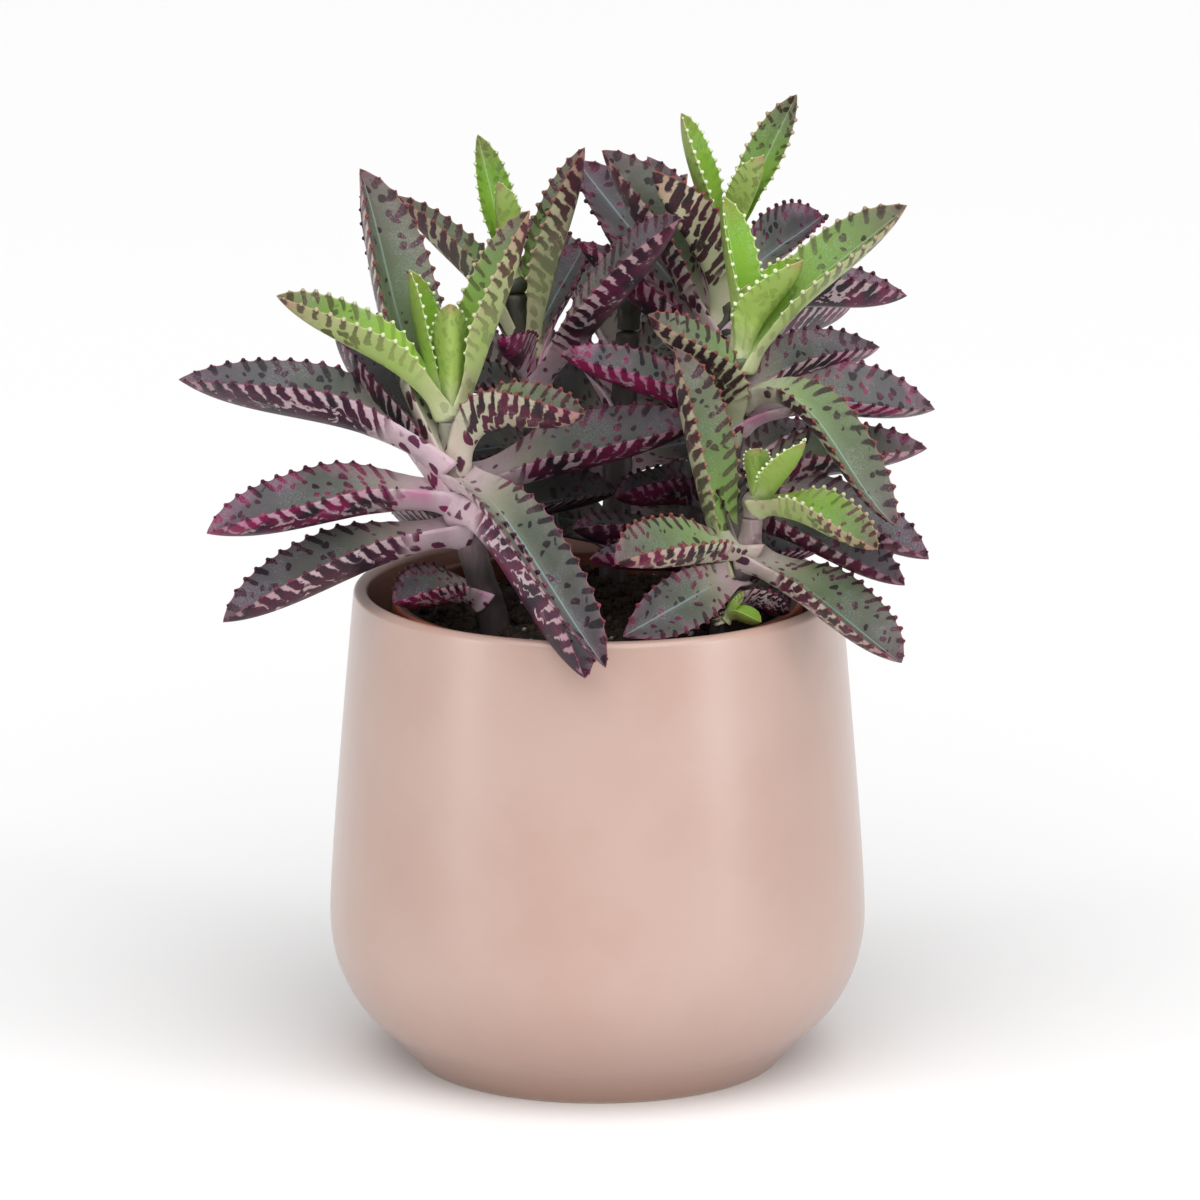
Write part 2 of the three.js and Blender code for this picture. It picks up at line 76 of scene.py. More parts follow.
def bend(start, first, second, end, count):
    """Points of a cubic curve: start, end and its two handles are weighted by the cubic
    Bernstein shares. The start itself is left out, so that paths can be joined."""
    t = np.linspace(0, 1, count + 1)[1:, None]
    start, first, second, end = (np.array(p, float) for p in (start, first, second, end))
    return (1 - t) ** 3 * start + 3 * t * (1 - t) ** 2 * first + 3 * t**2 * (1 - t) * second + t**3 * end


def line(start, end, count):
    """Points at even steps from start to end, without the start."""
    t = np.linspace(0, 1, count + 1)[1:, None]
    return (1 - t) * np.array(start, float) + t * np.array(end, float)


def turned(path, sides):
    """Rings of a turned shape: each path point (radius, height) goes round +Z, so
    x = radius cos a, y = radius sin a, z = height."""
    angle = np.linspace(0, 2 * math.pi, sides, endpoint=False)
    radius, height = path[:, 0, None], path[:, 1, None]
    return np.stack([radius * np.cos(angle), radius * np.sin(angle), height + 0 * angle], -1)


def tube(rings, ends):
    """A closed skin over rings of points: quads between neighbouring rings, and at each end a
    fan of triangles to one more point. Faces are turned round if their volume is negative."""
    rows, columns = rings.shape[:2]
    index = np.arange(rows * columns).reshape(rows, columns)
    beside = np.roll(index, -1, axis=1)
    quads = np.stack([index[:-1], beside[:-1], beside[1:], index[1:]], -1).reshape(-1, 4)
    first, last = np.full(columns, rows * columns), np.full(columns, rows * columns + 1)
    fans = [np.stack([first, beside[0], index[0]], -1), np.stack([last, index[-1], beside[-1]], -1)]
    points = np.concatenate([rings.reshape(-1, 3), np.array(ends, float)])
    triangles = np.concatenate(fans)
    every = np.concatenate([quads[:, [0, 1, 2]], quads[:, [0, 2, 3]], triangles])
    a, b, c = (points[every[:, k]] - points[0] for k in range(3))
    if np.einsum("ij,ij->", a, np.cross(b, c)) < 0:
        quads, triangles = quads[:, ::-1], triangles[:, ::-1]
    return {"points": points, "quads": quads, "triangles": triangles, "marks": {}}


def joined(shells):
    """Several skins as one. A mark that a skin doesn't have is zero there."""
    starts = np.cumsum([0] + [len(s["points"]) for s in shells])
    kinds = {name: values.shape[1:] for s in shells for name, values in s["marks"].items()}

    def marks_of(name, shape):
        return np.concatenate([s["marks"].get(name, np.zeros((len(s["points"]), *shape))) for s in shells])

    return {
        "points": np.concatenate([s["points"] for s in shells]),
        "quads": np.concatenate([s["quads"] + k for s, k in zip(shells, starts)]),
        "triangles": np.concatenate([s["triangles"] + k for s, k in zip(shells, starts)]),
        "marks": {name: marks_of(name, shape) for name, shape in kinds.items()},
    }


def placed(name, data):
    """A new object in the scene."""
    made = bpy.data.objects.new(name, data)
    bpy.context.scene.collection.objects.link(made)
    return made


def make_piece(name, shells, materials, node, slot):
    """Puts groups of skins into one mesh, a group for each material, with their marks as point attributes,
    and hides the frame's part that the piece stands for."""
    groups = [joined(group) for group in shells]
    skin = joined(groups)
    mesh = bpy.data.meshes.new(name)
    mesh.vertices.add(len(skin["points"]))
    mesh.vertices.foreach_set("co", (skin["points"] * MILLIMETRE).astype(np.float32).ravel())
    corners = np.concatenate([skin["quads"].ravel(), skin["triangles"].ravel()]).astype(np.int32)
    four, three = len(skin["quads"]), len(skin["triangles"])
    starts = np.concatenate([np.arange(four) * 4, four * 4 + np.arange(three) * 3])
    mesh.loops.add(len(corners))
    mesh.loops.foreach_set("vertex_index", corners)
    mesh.polygons.add(four + three)
    mesh.polygons.foreach_set("loop_start", starts.astype(np.int32))
    counts = [len(g[faces]) for faces in ("quads", "triangles") for g in groups]
    worn = np.repeat(np.tile(np.arange(len(groups)), 2), counts)
    mesh.polygons.foreach_set("material_index", worn.astype(np.int32))
    mesh.polygons.foreach_set("use_smooth", np.ones(four + three, bool))
    mesh.update(calc_edges=True)
    for label, values in skin["marks"].items():
        kind, field = ("FLOAT", "value") if values.ndim == 1 else ("FLOAT_VECTOR", "vector")
        mesh.attributes.new(label, kind, "POINT").data.foreach_set(field, values.astype(np.float32).ravel())
    for material in materials:
        mesh.materials.append(material)
    piece = placed(name, mesh)
    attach(piece, "root")
    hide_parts(node)
    return piece


def colour(shown):
    """Linear red, green, blue and alpha from the six hex digits that a screen shows."""
    parts = [int(shown[i : i + 2], 16) / 255 for i in (0, 2, 4)]
    return (*[p / 12.92 if p <= 0.04045 else ((p + 0.055) / 1.055) ** 2.4 for p in parts], 1.0)


class Board:
    """Short calls that wire a node tree: numbers, colours and sockets go in, sockets come out."""

    def __init__(self, tree):
        self.tree = tree

    def feed(self, socket, value):
        """Links a socket, or sets a number, or a colour by its six hex digits."""
        if isinstance(value, bpy.types.NodeSocket):
            self.tree.links.new(value, socket)
        else:
            socket.default_value = colour(value) if isinstance(value, str) else value

    def node(self, kind, inputs=None, **settings):
        made = self.tree.nodes.new("ShaderNode" + kind)
        for key, value in settings.items():
            setattr(made, key, value)
        for key, value in (inputs or {}).items():
            self.feed(made.inputs[key], value)
        return made

    def calc(self, operation, *values):
        return self.node("Math", dict(enumerate(values)), operation=operation).outputs[0]

    def times(self, first, second):
        return self.calc("MULTIPLY", first, second)

    def scaled(self, value, by, plus):
        """The value times by, with plus added."""
        return self.calc("MULTIPLY_ADD", value, by, plus)

    def less(self, first, second):
        return self.calc("SUBTRACT", first, second)

    def fade(self, value, low, high):
        """A soft step from 0 at low to 1 at high, which may lie either way round."""
        ends = {"Value": value, "From Min": low, "From Max": high}
        return self.node("MapRange", ends, interpolation_type="SMOOTHSTEP").outputs[0]

    def mix(self, share, first, second):
        """A colour that is first where share is 0 and second where it is 1."""
        return self.node("Mix", {0: share, 6: first, 7: second}, data_type="RGBA").outputs[2]

    def ramp(self, value, *stops):
        """Colours placed along a value, each stop as (place, hex digits)."""
        made = self.node("ValToRGB", {"Fac": value})
        marks = made.color_ramp.elements
        while len(marks) < len(stops):
            marks.new(0.5)
        for mark, (place, shown) in zip(marks, stops):
            mark.position = place
            mark.color = colour(shown)
        return made.outputs[0]

    def noise(self, place, scale, detail=2.0, roughness=0.5):
        inputs = {"Vector": place, "Scale": scale, "Detail": detail, "Roughness": roughness}
        return self.node("TexNoise", inputs).outputs["Fac"]

    def bump(self, height, depth, over=None):
        """A normal from a height of 0 to 1 that stands depth metres high at 1, which may lie over
        another normal."""
        inputs = {"Height": height, "Distance": depth, "Strength": 1.0}
        if over:
            inputs["Normal"] = over
        return self.node("Bump", inputs).outputs[0]

    def place(self):
        """The point of the surface, in metres from the middle of the pot's foot."""
        return self.node("TexCoord").outputs["Object"]

    def squeezed(self, place, scale):
        """A point whose three values are multiplied by the three of scale."""
        return self.node("Mapping", {"Vector": place, "Scale": scale}).outputs[0]

    def split(self, point):
        return self.node("SeparateXYZ", {"Vector": point}).outputs[:3]

    def point(self, x, y, z):
        return self.node("CombineXYZ", {"X": x, "Y": y, "Z": z}).outputs[0]


def finish(name, **constants):
    """A new material: its board and its Principled shader, whose constant values are set on it."""
    made = bpy.data.materials.new(name)
    made.use_nodes = True
    shader = made.node_tree.nodes["Principled BSDF"]
    for key, value in constants.items():
        shader.inputs[key.replace("_", " ")].default_value = value
    return made, Board(made.node_tree), shader.inputs


def cover_pot_path():
    """Radius and height from under the middle of the foot, out and up the wall, over the round
    lip and down the inside to the middle of the floor. The wall and the belly are cubic curves,
    both upright where they meet at the widest height."""
    rim = POT_HEIGHT - LIP
    above, below = rim - BELLY_HEIGHT, BELLY_HEIGHT - FOOT_HEIGHT
    low, high = (BELLY_HEIGHT + share * above for share in WALL_HANDLES)
    drop, lean = BELLY_HEIGHT - BELLY_HANDLE * below, RIM_RADIUS + WALL_LEAN
    hollow, ring = (FOOT_RING_INSIDE, FOOT_RECESS), (FOOT_RING_INSIDE + 1.2, 0)
    edge, toe = (FOOT_RADIUS - 1.5, 0), (FOOT_RADIUS + 0.6, 1)
    flare, belly = (FOOT_RADIUS + FOOT_FLARE, FOOT_HEIGHT), (BELLY_RADIUS, BELLY_HEIGHT)
    inner, corner = BELLY_RADIUS - POT_WALL, (FOOT_RADIUS, POT_FLOOR)
    lip_turn = np.linspace(0, math.pi, 15)[1:, None]
    lip = np.hstack([RIM_RADIUS - LIP + LIP * np.cos(lip_turn), rim + LIP * np.sin(lip_turn)])
    return np.concatenate([
        line((1, FOOT_RECESS), hollow, 6),
        bend(hollow, (FOOT_RING_INSIDE + 0.4, 1.1), (FOOT_RING_INSIDE + 0.4, 0), ring, 5),
        line(ring, edge, 2),
        bend(edge, (FOOT_RADIUS - 0.6, 0), (FOOT_RADIUS, 0.3), toe, 6),
        bend(toe, (FOOT_RADIUS + 2.7, 3.6), (FOOT_RADIUS + 6.1, 7.2), flare, 8),
        bend(flare, (FOOT_RADIUS + 13.2, 13), (BELLY_RADIUS, drop), belly, 26),
        bend(belly, (BELLY_RADIUS, low), (lean, high), (RIM_RADIUS, rim), 36),
        lip,
        bend(lip[-1], (lean - POT_WALL, high), (inner, low), (inner, BELLY_HEIGHT), 30),
        bend((inner, BELLY_HEIGHT), (inner, drop), (FOOT_RADIUS + 11.7, POT_FLOOR), corner, 20),
        line(corner, (1, POT_FLOOR), 6),
    ])


def glaze_finish():
    """Satin glaze: an even pink with faint clouds, fine pores and faint rings from the mould, darkened low
    down by painted shade. The foot ring is bare clay."""
    made, board, shader = finish("satin_pink_glaze", Coat_Weight=1.0, Coat_Roughness=0.33, IOR=1.5)
    place = board.place()
    height = board.split(place)[2]
    clouds = board.noise(place, 22.0, 4.0, 0.55)
    glaze = board.mix(board.fade(clouds, 0.3, 0.7), "b39285", "b99b8f")
    # Painted shade: the glaze turns darker towards the bottom, under the belly.
    glaze = board.mix(board.fade(height, SHADE_PAINTED_BELOW * MILLIMETRE, 0.0), glaze, "987465")
    pores = board.fade(board.noise(place, 900.0, 2.0), 0.7, 0.78)
    glaze = board.mix(board.times(pores, 0.25), glaze, "b08a7c")
    clay = board.mix(board.noise(place, 400.0, 3.0), "b9a08f", "cdb7a6")
    bare = board.fade(height, BARE_RING * MILLIMETRE, 0.0004)
    board.feed(shader["Base Color"], board.mix(bare, glaze, clay))
    satin = board.scaled(clouds, 0.08, 0.33)
    board.feed(shader["Roughness"], board.scaled(bare, 0.45, satin))
    squashed = board.squeezed(place, (0.02, 0.02, 1.0))
    rings = board.bump(board.noise(squashed, 260.0, 2.0), 0.00004)
    skin = board.bump(board.noise(place, 140.0, 3.0), 0.00009, rings)
    board.feed(shader["Normal"], skin)
    return made


pot_skin = tube(turned(cover_pot_path(), POT_SIDES), [(0, 0, FOOT_RECESS), (0, 0, POT_FLOOR)])
make_piece("cover_pot_glazed", [[pot_skin]], [glaze_finish()], "cover_pot", "cover_pot_clay")


# The grow pot: thin terracotta-coloured plastic, moulded in one piece with a thicker rim band
# and six drain holes in its base. It stands loose on the cover pot's floor.
GROW_BASE, GROW_TOP = 6.3, 114.5
GROW_RIM_RADIUS, GROW_RIM_DEPTH, GROW_RIM_STEP = 49.5, 9.0, 1.6
GROW_BASE_RADIUS, GROW_WALL = 38.0, 1.2
DRAIN_HOLES, DRAIN_HOLE_RADIUS, DRAIN_RING_RADIUS = 6, 3.5, 25.0
GROW_SIDES, DRAIN_SIDES = 120, 28


def grow_outer(z):
    """The outer radius of the plain wall, which widens evenly from the base to the top."""
    slope = (GROW_RIM_RADIUS - GROW_RIM_STEP - GROW_BASE_RADIUS) / (GROW_TOP - GROW_BASE)
    return GROW_BASE_RADIUS + slope * (z - GROW_BASE)


def grow_pot_path():
    """Radius and height from under the base up the wall, round the rim band and back down the
    inside to the floor, with small cubic curves at the corners."""
    rim, top, base = GROW_RIM_RADIUS, GROW_TOP, GROW_BASE_RADIUS
    band, floor = top - GROW_RIM_DEPTH, GROW_BASE + GROW_WALL
    wall, inside = (grow_outer(band), band - 0.4), grow_outer(top) - GROW_WALL
    edge, toe = (base - 1.5, GROW_BASE), (base, GROW_BASE + 1.5)
    return np.concatenate([
        line((1, GROW_BASE), edge, 6),
        bend(edge, (base - 0.5, GROW_BASE), (base, GROW_BASE + 0.5), toe, 4),
        line(toe, wall, 20),
        bend(wall, (rim - 1.3, band), (rim - 0.3, band), (rim, band + 0.5), 4),
        line((rim, band + 0.5), (rim, top - 1), 4),
        bend((rim, top - 1), (rim, top - 0.2), (rim - 0.3, top), (rim - 1, top), 5),
        bend((rim - 1, top), (rim - 2.3, top), (inside, top - 0.3), (inside, top - 1.1), 5),
        line((inside, top - 1.1), (grow_outer(floor) - GROW_WALL, floor + 1), 20),
        bend((base - 1.1, floor + 1), (base - 1.1, floor + 0.3), (base - 1.5, floor), (base - 2.2, floor), 4),
        line((base - 2.2, floor), (1, floor), 6),
    ])


def plastic_finish():
    """Terracotta plastic: a matt moulded grain, with faint clouds and dried lime from watering. All but the
    outside of its rim band is darkened, partly by peat stain and partly by painted shade."""
    made, board, shader = finish("terracotta_plastic", IOR=1.46)
    place = board.place()
    clouds = board.noise(place, 60.0, 4.0, 0.6)
    body = board.mix(clouds, "a85230", "c4693f")
    lime = board.fade(board.noise(place, 180.0, 5.0, 0.7), 0.56, 0.72)
    body = board.mix(board.times(lime, 0.5), body, "d0a48c")
    level = board.squeezed(place, (1.0, 1.0, 0.0))
    outward = board.node("VectorMath", {0: level}, operation="LENGTH").outputs["Value"]
    covered = board.fade(outward, (GROW_RIM_RADIUS - 0.8) * MILLIMETRE, (GROW_RIM_RADIUS - 1.2) * MILLIMETRE)
    # Partly peat stain, partly painted shade: all but the rim band's outside turns near black.
    stain_and_shade = board.times(covered, board.scaled(clouds, 0.4, 0.55))
    board.feed(shader["Base Color"], board.mix(stain_and_shade, body, "1c1410"))
    board.feed(shader["Roughness"], board.scaled(clouds, 0.2, 0.42))
    board.feed(shader["Normal"], board.bump(board.noise(place, 1400.0, 2.0), 0.00005))
    return made


def drilled(piece, holes):
    """Cuts holes through a piece with a boolean and keeps the result as its mesh."""
    cutter = piece.copy()
    cutter.data = holes
    bpy.context.scene.collection.objects.link(cutter)
    cut = piece.modifiers.new("drain_holes", "BOOLEAN")
    cut.object, cut.operation, cut.solver = cutter, "DIFFERENCE", "EXACT"
    whole = bpy.data.meshes.new_from_object(piece.evaluated_get(bpy.context.evaluated_depsgraph_get()))
    piece.modifiers.clear()
    piece.data = whole
    bpy.data.objects.remove(cutter)


def drain_cutters():
    """Short upright rods through the base, one at each drain hole, as one mesh."""
    low, high = GROW_BASE - 2.0, GROW_BASE + 4.0
    rod = turned(np.array([[DRAIN_HOLE_RADIUS, low], [DRAIN_HOLE_RADIUS, high]]), DRAIN_SIDES)
    turns = 2 * math.pi * np.arange(DRAIN_HOLES) / DRAIN_HOLES
    places = DRAIN_RING_RADIUS * np.stack([np.cos(turns), np.sin(turns), 0 * turns], -1)
    skin = joined([tube(rod + place, [place + (0, 0, low), place + (0, 0, high)]) for place in places])
    mesh = bpy.data.meshes.new("drain_cutters")
    mesh.from_pydata(skin["points"] * MILLIMETRE, [], skin["quads"].tolist() + skin["triangles"].tolist())
    return mesh


grow_skin = tube(turned(grow_pot_path(), GROW_SIDES), [(0, 0, GROW_BASE), (0, 0, GROW_BASE + GROW_WALL)])
grow_pot = make_piece("grow_pot_plastic", [[grow_skin]], [plastic_finish()], "grow_pot", "grow_pot_plastic")
drilled(grow_pot, drain_cutters())


# The soil: dark peat with bark crumbs and a few grains of perlite, filled to just under the
# grow pot's rim and mounded round the stems, which are rooted in it.
SOIL_TOP, SOIL_MOUND, SOIL_GAP = 109.0, 2.4, 0.3
SOIL_SIDES, SOIL_RINGS = 180, 60
CRUMBS, PERLITE_GRAINS, CRUMB_SINK = 900, 26, 0.4
soil_dice = np.random.default_rng(11)


def soil_height(x, y):
    """A low mound with a shallow ripple of lumps, in millimetres above the foot."""
    reach = np.hypot(x, y) / GROW_RIM_RADIUS
    lumps = 0.7 * np.sin(0.31 * x + 1.3) * np.cos(0.27 * y - 0.4) + 0.4 * np.sin(0.63 * x - 0.51 * y)
    return SOIL_TOP + SOIL_MOUND * (1 - reach**2) + lumps


def crumbly(x, y):
    """Small lumps for the soil's surface: sums of crossed waves whose sizes fall by two fifths."""
    total = np.zeros_like(x)
    for size, depth in ((5.1, 0.42), (2.9, 0.3), (1.7, 0.2), (1.05, 0.13)):
        for turn in (0.3, 1.35, 2.5):
            across = (x * math.cos(turn) + y * math.sin(turn)) / size
            along = (y * math.cos(turn) - x * math.sin(turn)) / size
            wave = np.sin(2.1 * across + 1.7 * np.sin(1.3 * along + size))
            total += depth * wave * np.cos(1.9 * along + turn)
    return total


def soil_surface(x, y):
    """The height of the crumbly top: the mound and its small lumps, sunk a little."""
    return soil_height(x, y) + crumbly(x, y) - CRUMB_SINK


def soil_side(z):
    """The soil's radius at a height, just inside the grow pot's wall."""
    return grow_outer(z) - GROW_WALL - SOIL_GAP


def soil_rings():
    """Rings from under the middle out to the wall, up it, and in over the crumbly top."""
    floor, half_way, edge = GROW_BASE + GROW_WALL + SOIL_GAP, 60, soil_side(SOIL_TOP)
    wall = [[1, floor], [soil_side(floor), floor], [soil_side(half_way), half_way], [edge, SOIL_TOP - 3]]
    top = [[edge * k / SOIL_RINGS, SOIL_TOP] for k in range(SOIL_RINGS, 0, -1)]
    rings = turned(np.array(wall + top), SOIL_SIDES)
    on_top = rings[len(wall):]
    on_top[:, :, 2] = soil_surface(on_top[:, :, 0], on_top[:, :, 1])
    return rings


def ball(sides, rises):
    """Rings of a ball of radius 1, with x = cos b cos a, y = cos b sin a and z = sin b, where a
    goes round in equal steps and b takes each of the rises."""
    turn = np.linspace(0, 2 * math.pi, sides, endpoint=False)
    wide, high = np.cos(rises), np.outer(np.sin(rises), np.ones(sides))
    return np.stack([np.outer(wide, np.cos(turn)), np.outer(wide, np.sin(turn)), high], -1)


def loose_crumbs(count, smallest, largest, lift):
    """Crumbs or grains: balls of 8 by 5 points, each stretched, dented and turned at random, laid on
    the soil. Sizes are radii in millimetres, and small ones are much more common."""
    round_ball = ball(8, np.linspace(-1, 1, 7)[1:-1] * 0.5 * math.pi * 0.82)
    made = []
    reach = soil_side(SOIL_TOP) - 2
    for _ in range(count):
        size = smallest + (largest - smallest) * soil_dice.random() ** 3
        out, way = reach * math.sqrt(soil_dice.random()), 2 * math.pi * soil_dice.random()
        x, y = out * math.cos(way), out * math.sin(way)
        turn, _ = np.linalg.qr(soil_dice.normal(size=(3, 3)))
        stretch = soil_dice.uniform((0.8, 0.6, 0.45), (1.3, 1.0, 0.8))
        dents = soil_dice.uniform(0.8, 1.15, round_ball.shape[:2])[..., None]
        poles = np.array([[0, 0, -1.0], [0, 0, 1.0]]) * stretch * size
        middle = np.array([x, y, soil_surface(np.array(x), np.array(y)) + lift * size])
        made.append(tube(round_ball * dents * stretch * size @ turn.T + middle, poles @ turn.T + middle))
    return made


def peat_finish():
    """Peat: near black when damp, with browner grains and patches, dull and rough all over."""
    made, board, shader = finish("damp_peat", Roughness=0.95, IOR=1.4)
    place = board.place()
    grain = board.noise(place, 700.0, 5.0, 0.7)
    patches = board.noise(place, 90.0, 3.0)
    body = board.ramp(grain, (0.3, "120d0b"), (0.52, "2a201a"), (0.72, "4a3a2e"))
    body = board.mix(board.times(board.fade(patches, 0.5, 0.75), 0.5), body, "5a4a3c")
    board.feed(shader["Base Color"], body)
    board.feed(shader["Normal"], board.bump(grain, 0.0006))
    return made


def perlite_finish():
    """Perlite: a white expanded mineral, stained by the peat."""
    made, board, shader = finish("stained_perlite", Roughness=0.85, IOR=1.4)
    place = board.place()
    grain = board.noise(place, 1200.0, 4.0, 0.6)
    board.feed(shader["Base Color"], board.mix(grain, "6e665c", "bdb8ae"))
    board.feed(shader["Normal"], board.bump(grain, 0.0003))
    return made


soil_skin = tube(soil_rings(), [(0, 0, GROW_BASE + GROW_WALL + SOIL_GAP), (0, 0, soil_height(0, 0))])
crumbs = loose_crumbs(CRUMBS, smallest=0.5, largest=2.3, lift=0.25)
grains = loose_crumbs(PERLITE_GRAINS, smallest=0.7, largest=1.4, lift=0.3)
make_piece("soil_peat", [[soil_skin, *crumbs], grains], [peat_finish(), perlite_finish()], "soil", "peat")


# The stems and leaves: fleshy grey-pink rods rooted in the soil, whose thick leaves grow out of
# them, folded along the midrib and toothed along both margins. Every stem is two pieces, the firm
# stem with its older leaves and the soft green crown. The seedling is one piece.

# A stem is its name, the radius at its foot and tip, the height where its crown starts, and its
# points from the foot up.
STEMS = {
    "left": ((4.2, 2.8), 162, [(-24.5, -14, 82), (-24.5, -14, 110), (-28.5, -15, 124), (-33, -16, 142),
                               (-35, -16, 158), (-35, -16, 167)]),
    "back_left": ((4.0, 2.6), 185.5, [(-12, 16, 82), (-12, 16, 110), (-13.5, 18, 138), (-17, 20, 166),
                                    (-20.5, 20, 189)]),
    "back_right": ((4.2, 2.6), 197, [(20, 12, 82), (20, 12, 110), (24, 14, 138), (29, 15, 168),
                                     (30.5, 15, 188), (31, 15, 201)]),
    "right": ((4.2, 2.8), 170.5, [(26, -6, 82), (26, -6, 110), (29, -6, 138), (32.5, -6, 160),
                                  (34, -5, 175)]),
    "front_right": ((3.6, 2.4), 140.5, [(30, -24, 88), (30, -24, 110), (32, -25, 122), (36, -26, 134),
                                      (38, -26, 146)]),
    "back": ((4.0, 2.6), 173, [(4, 32, 82), (4, 32, 110), (5, 34, 138), (7, 35, 166), (8, 35, 180)]),
    "seedling": ((1.0, 0.8), 200, [(29, -32, 103), (29, -32, 110), (30, -33, 119)]),
}

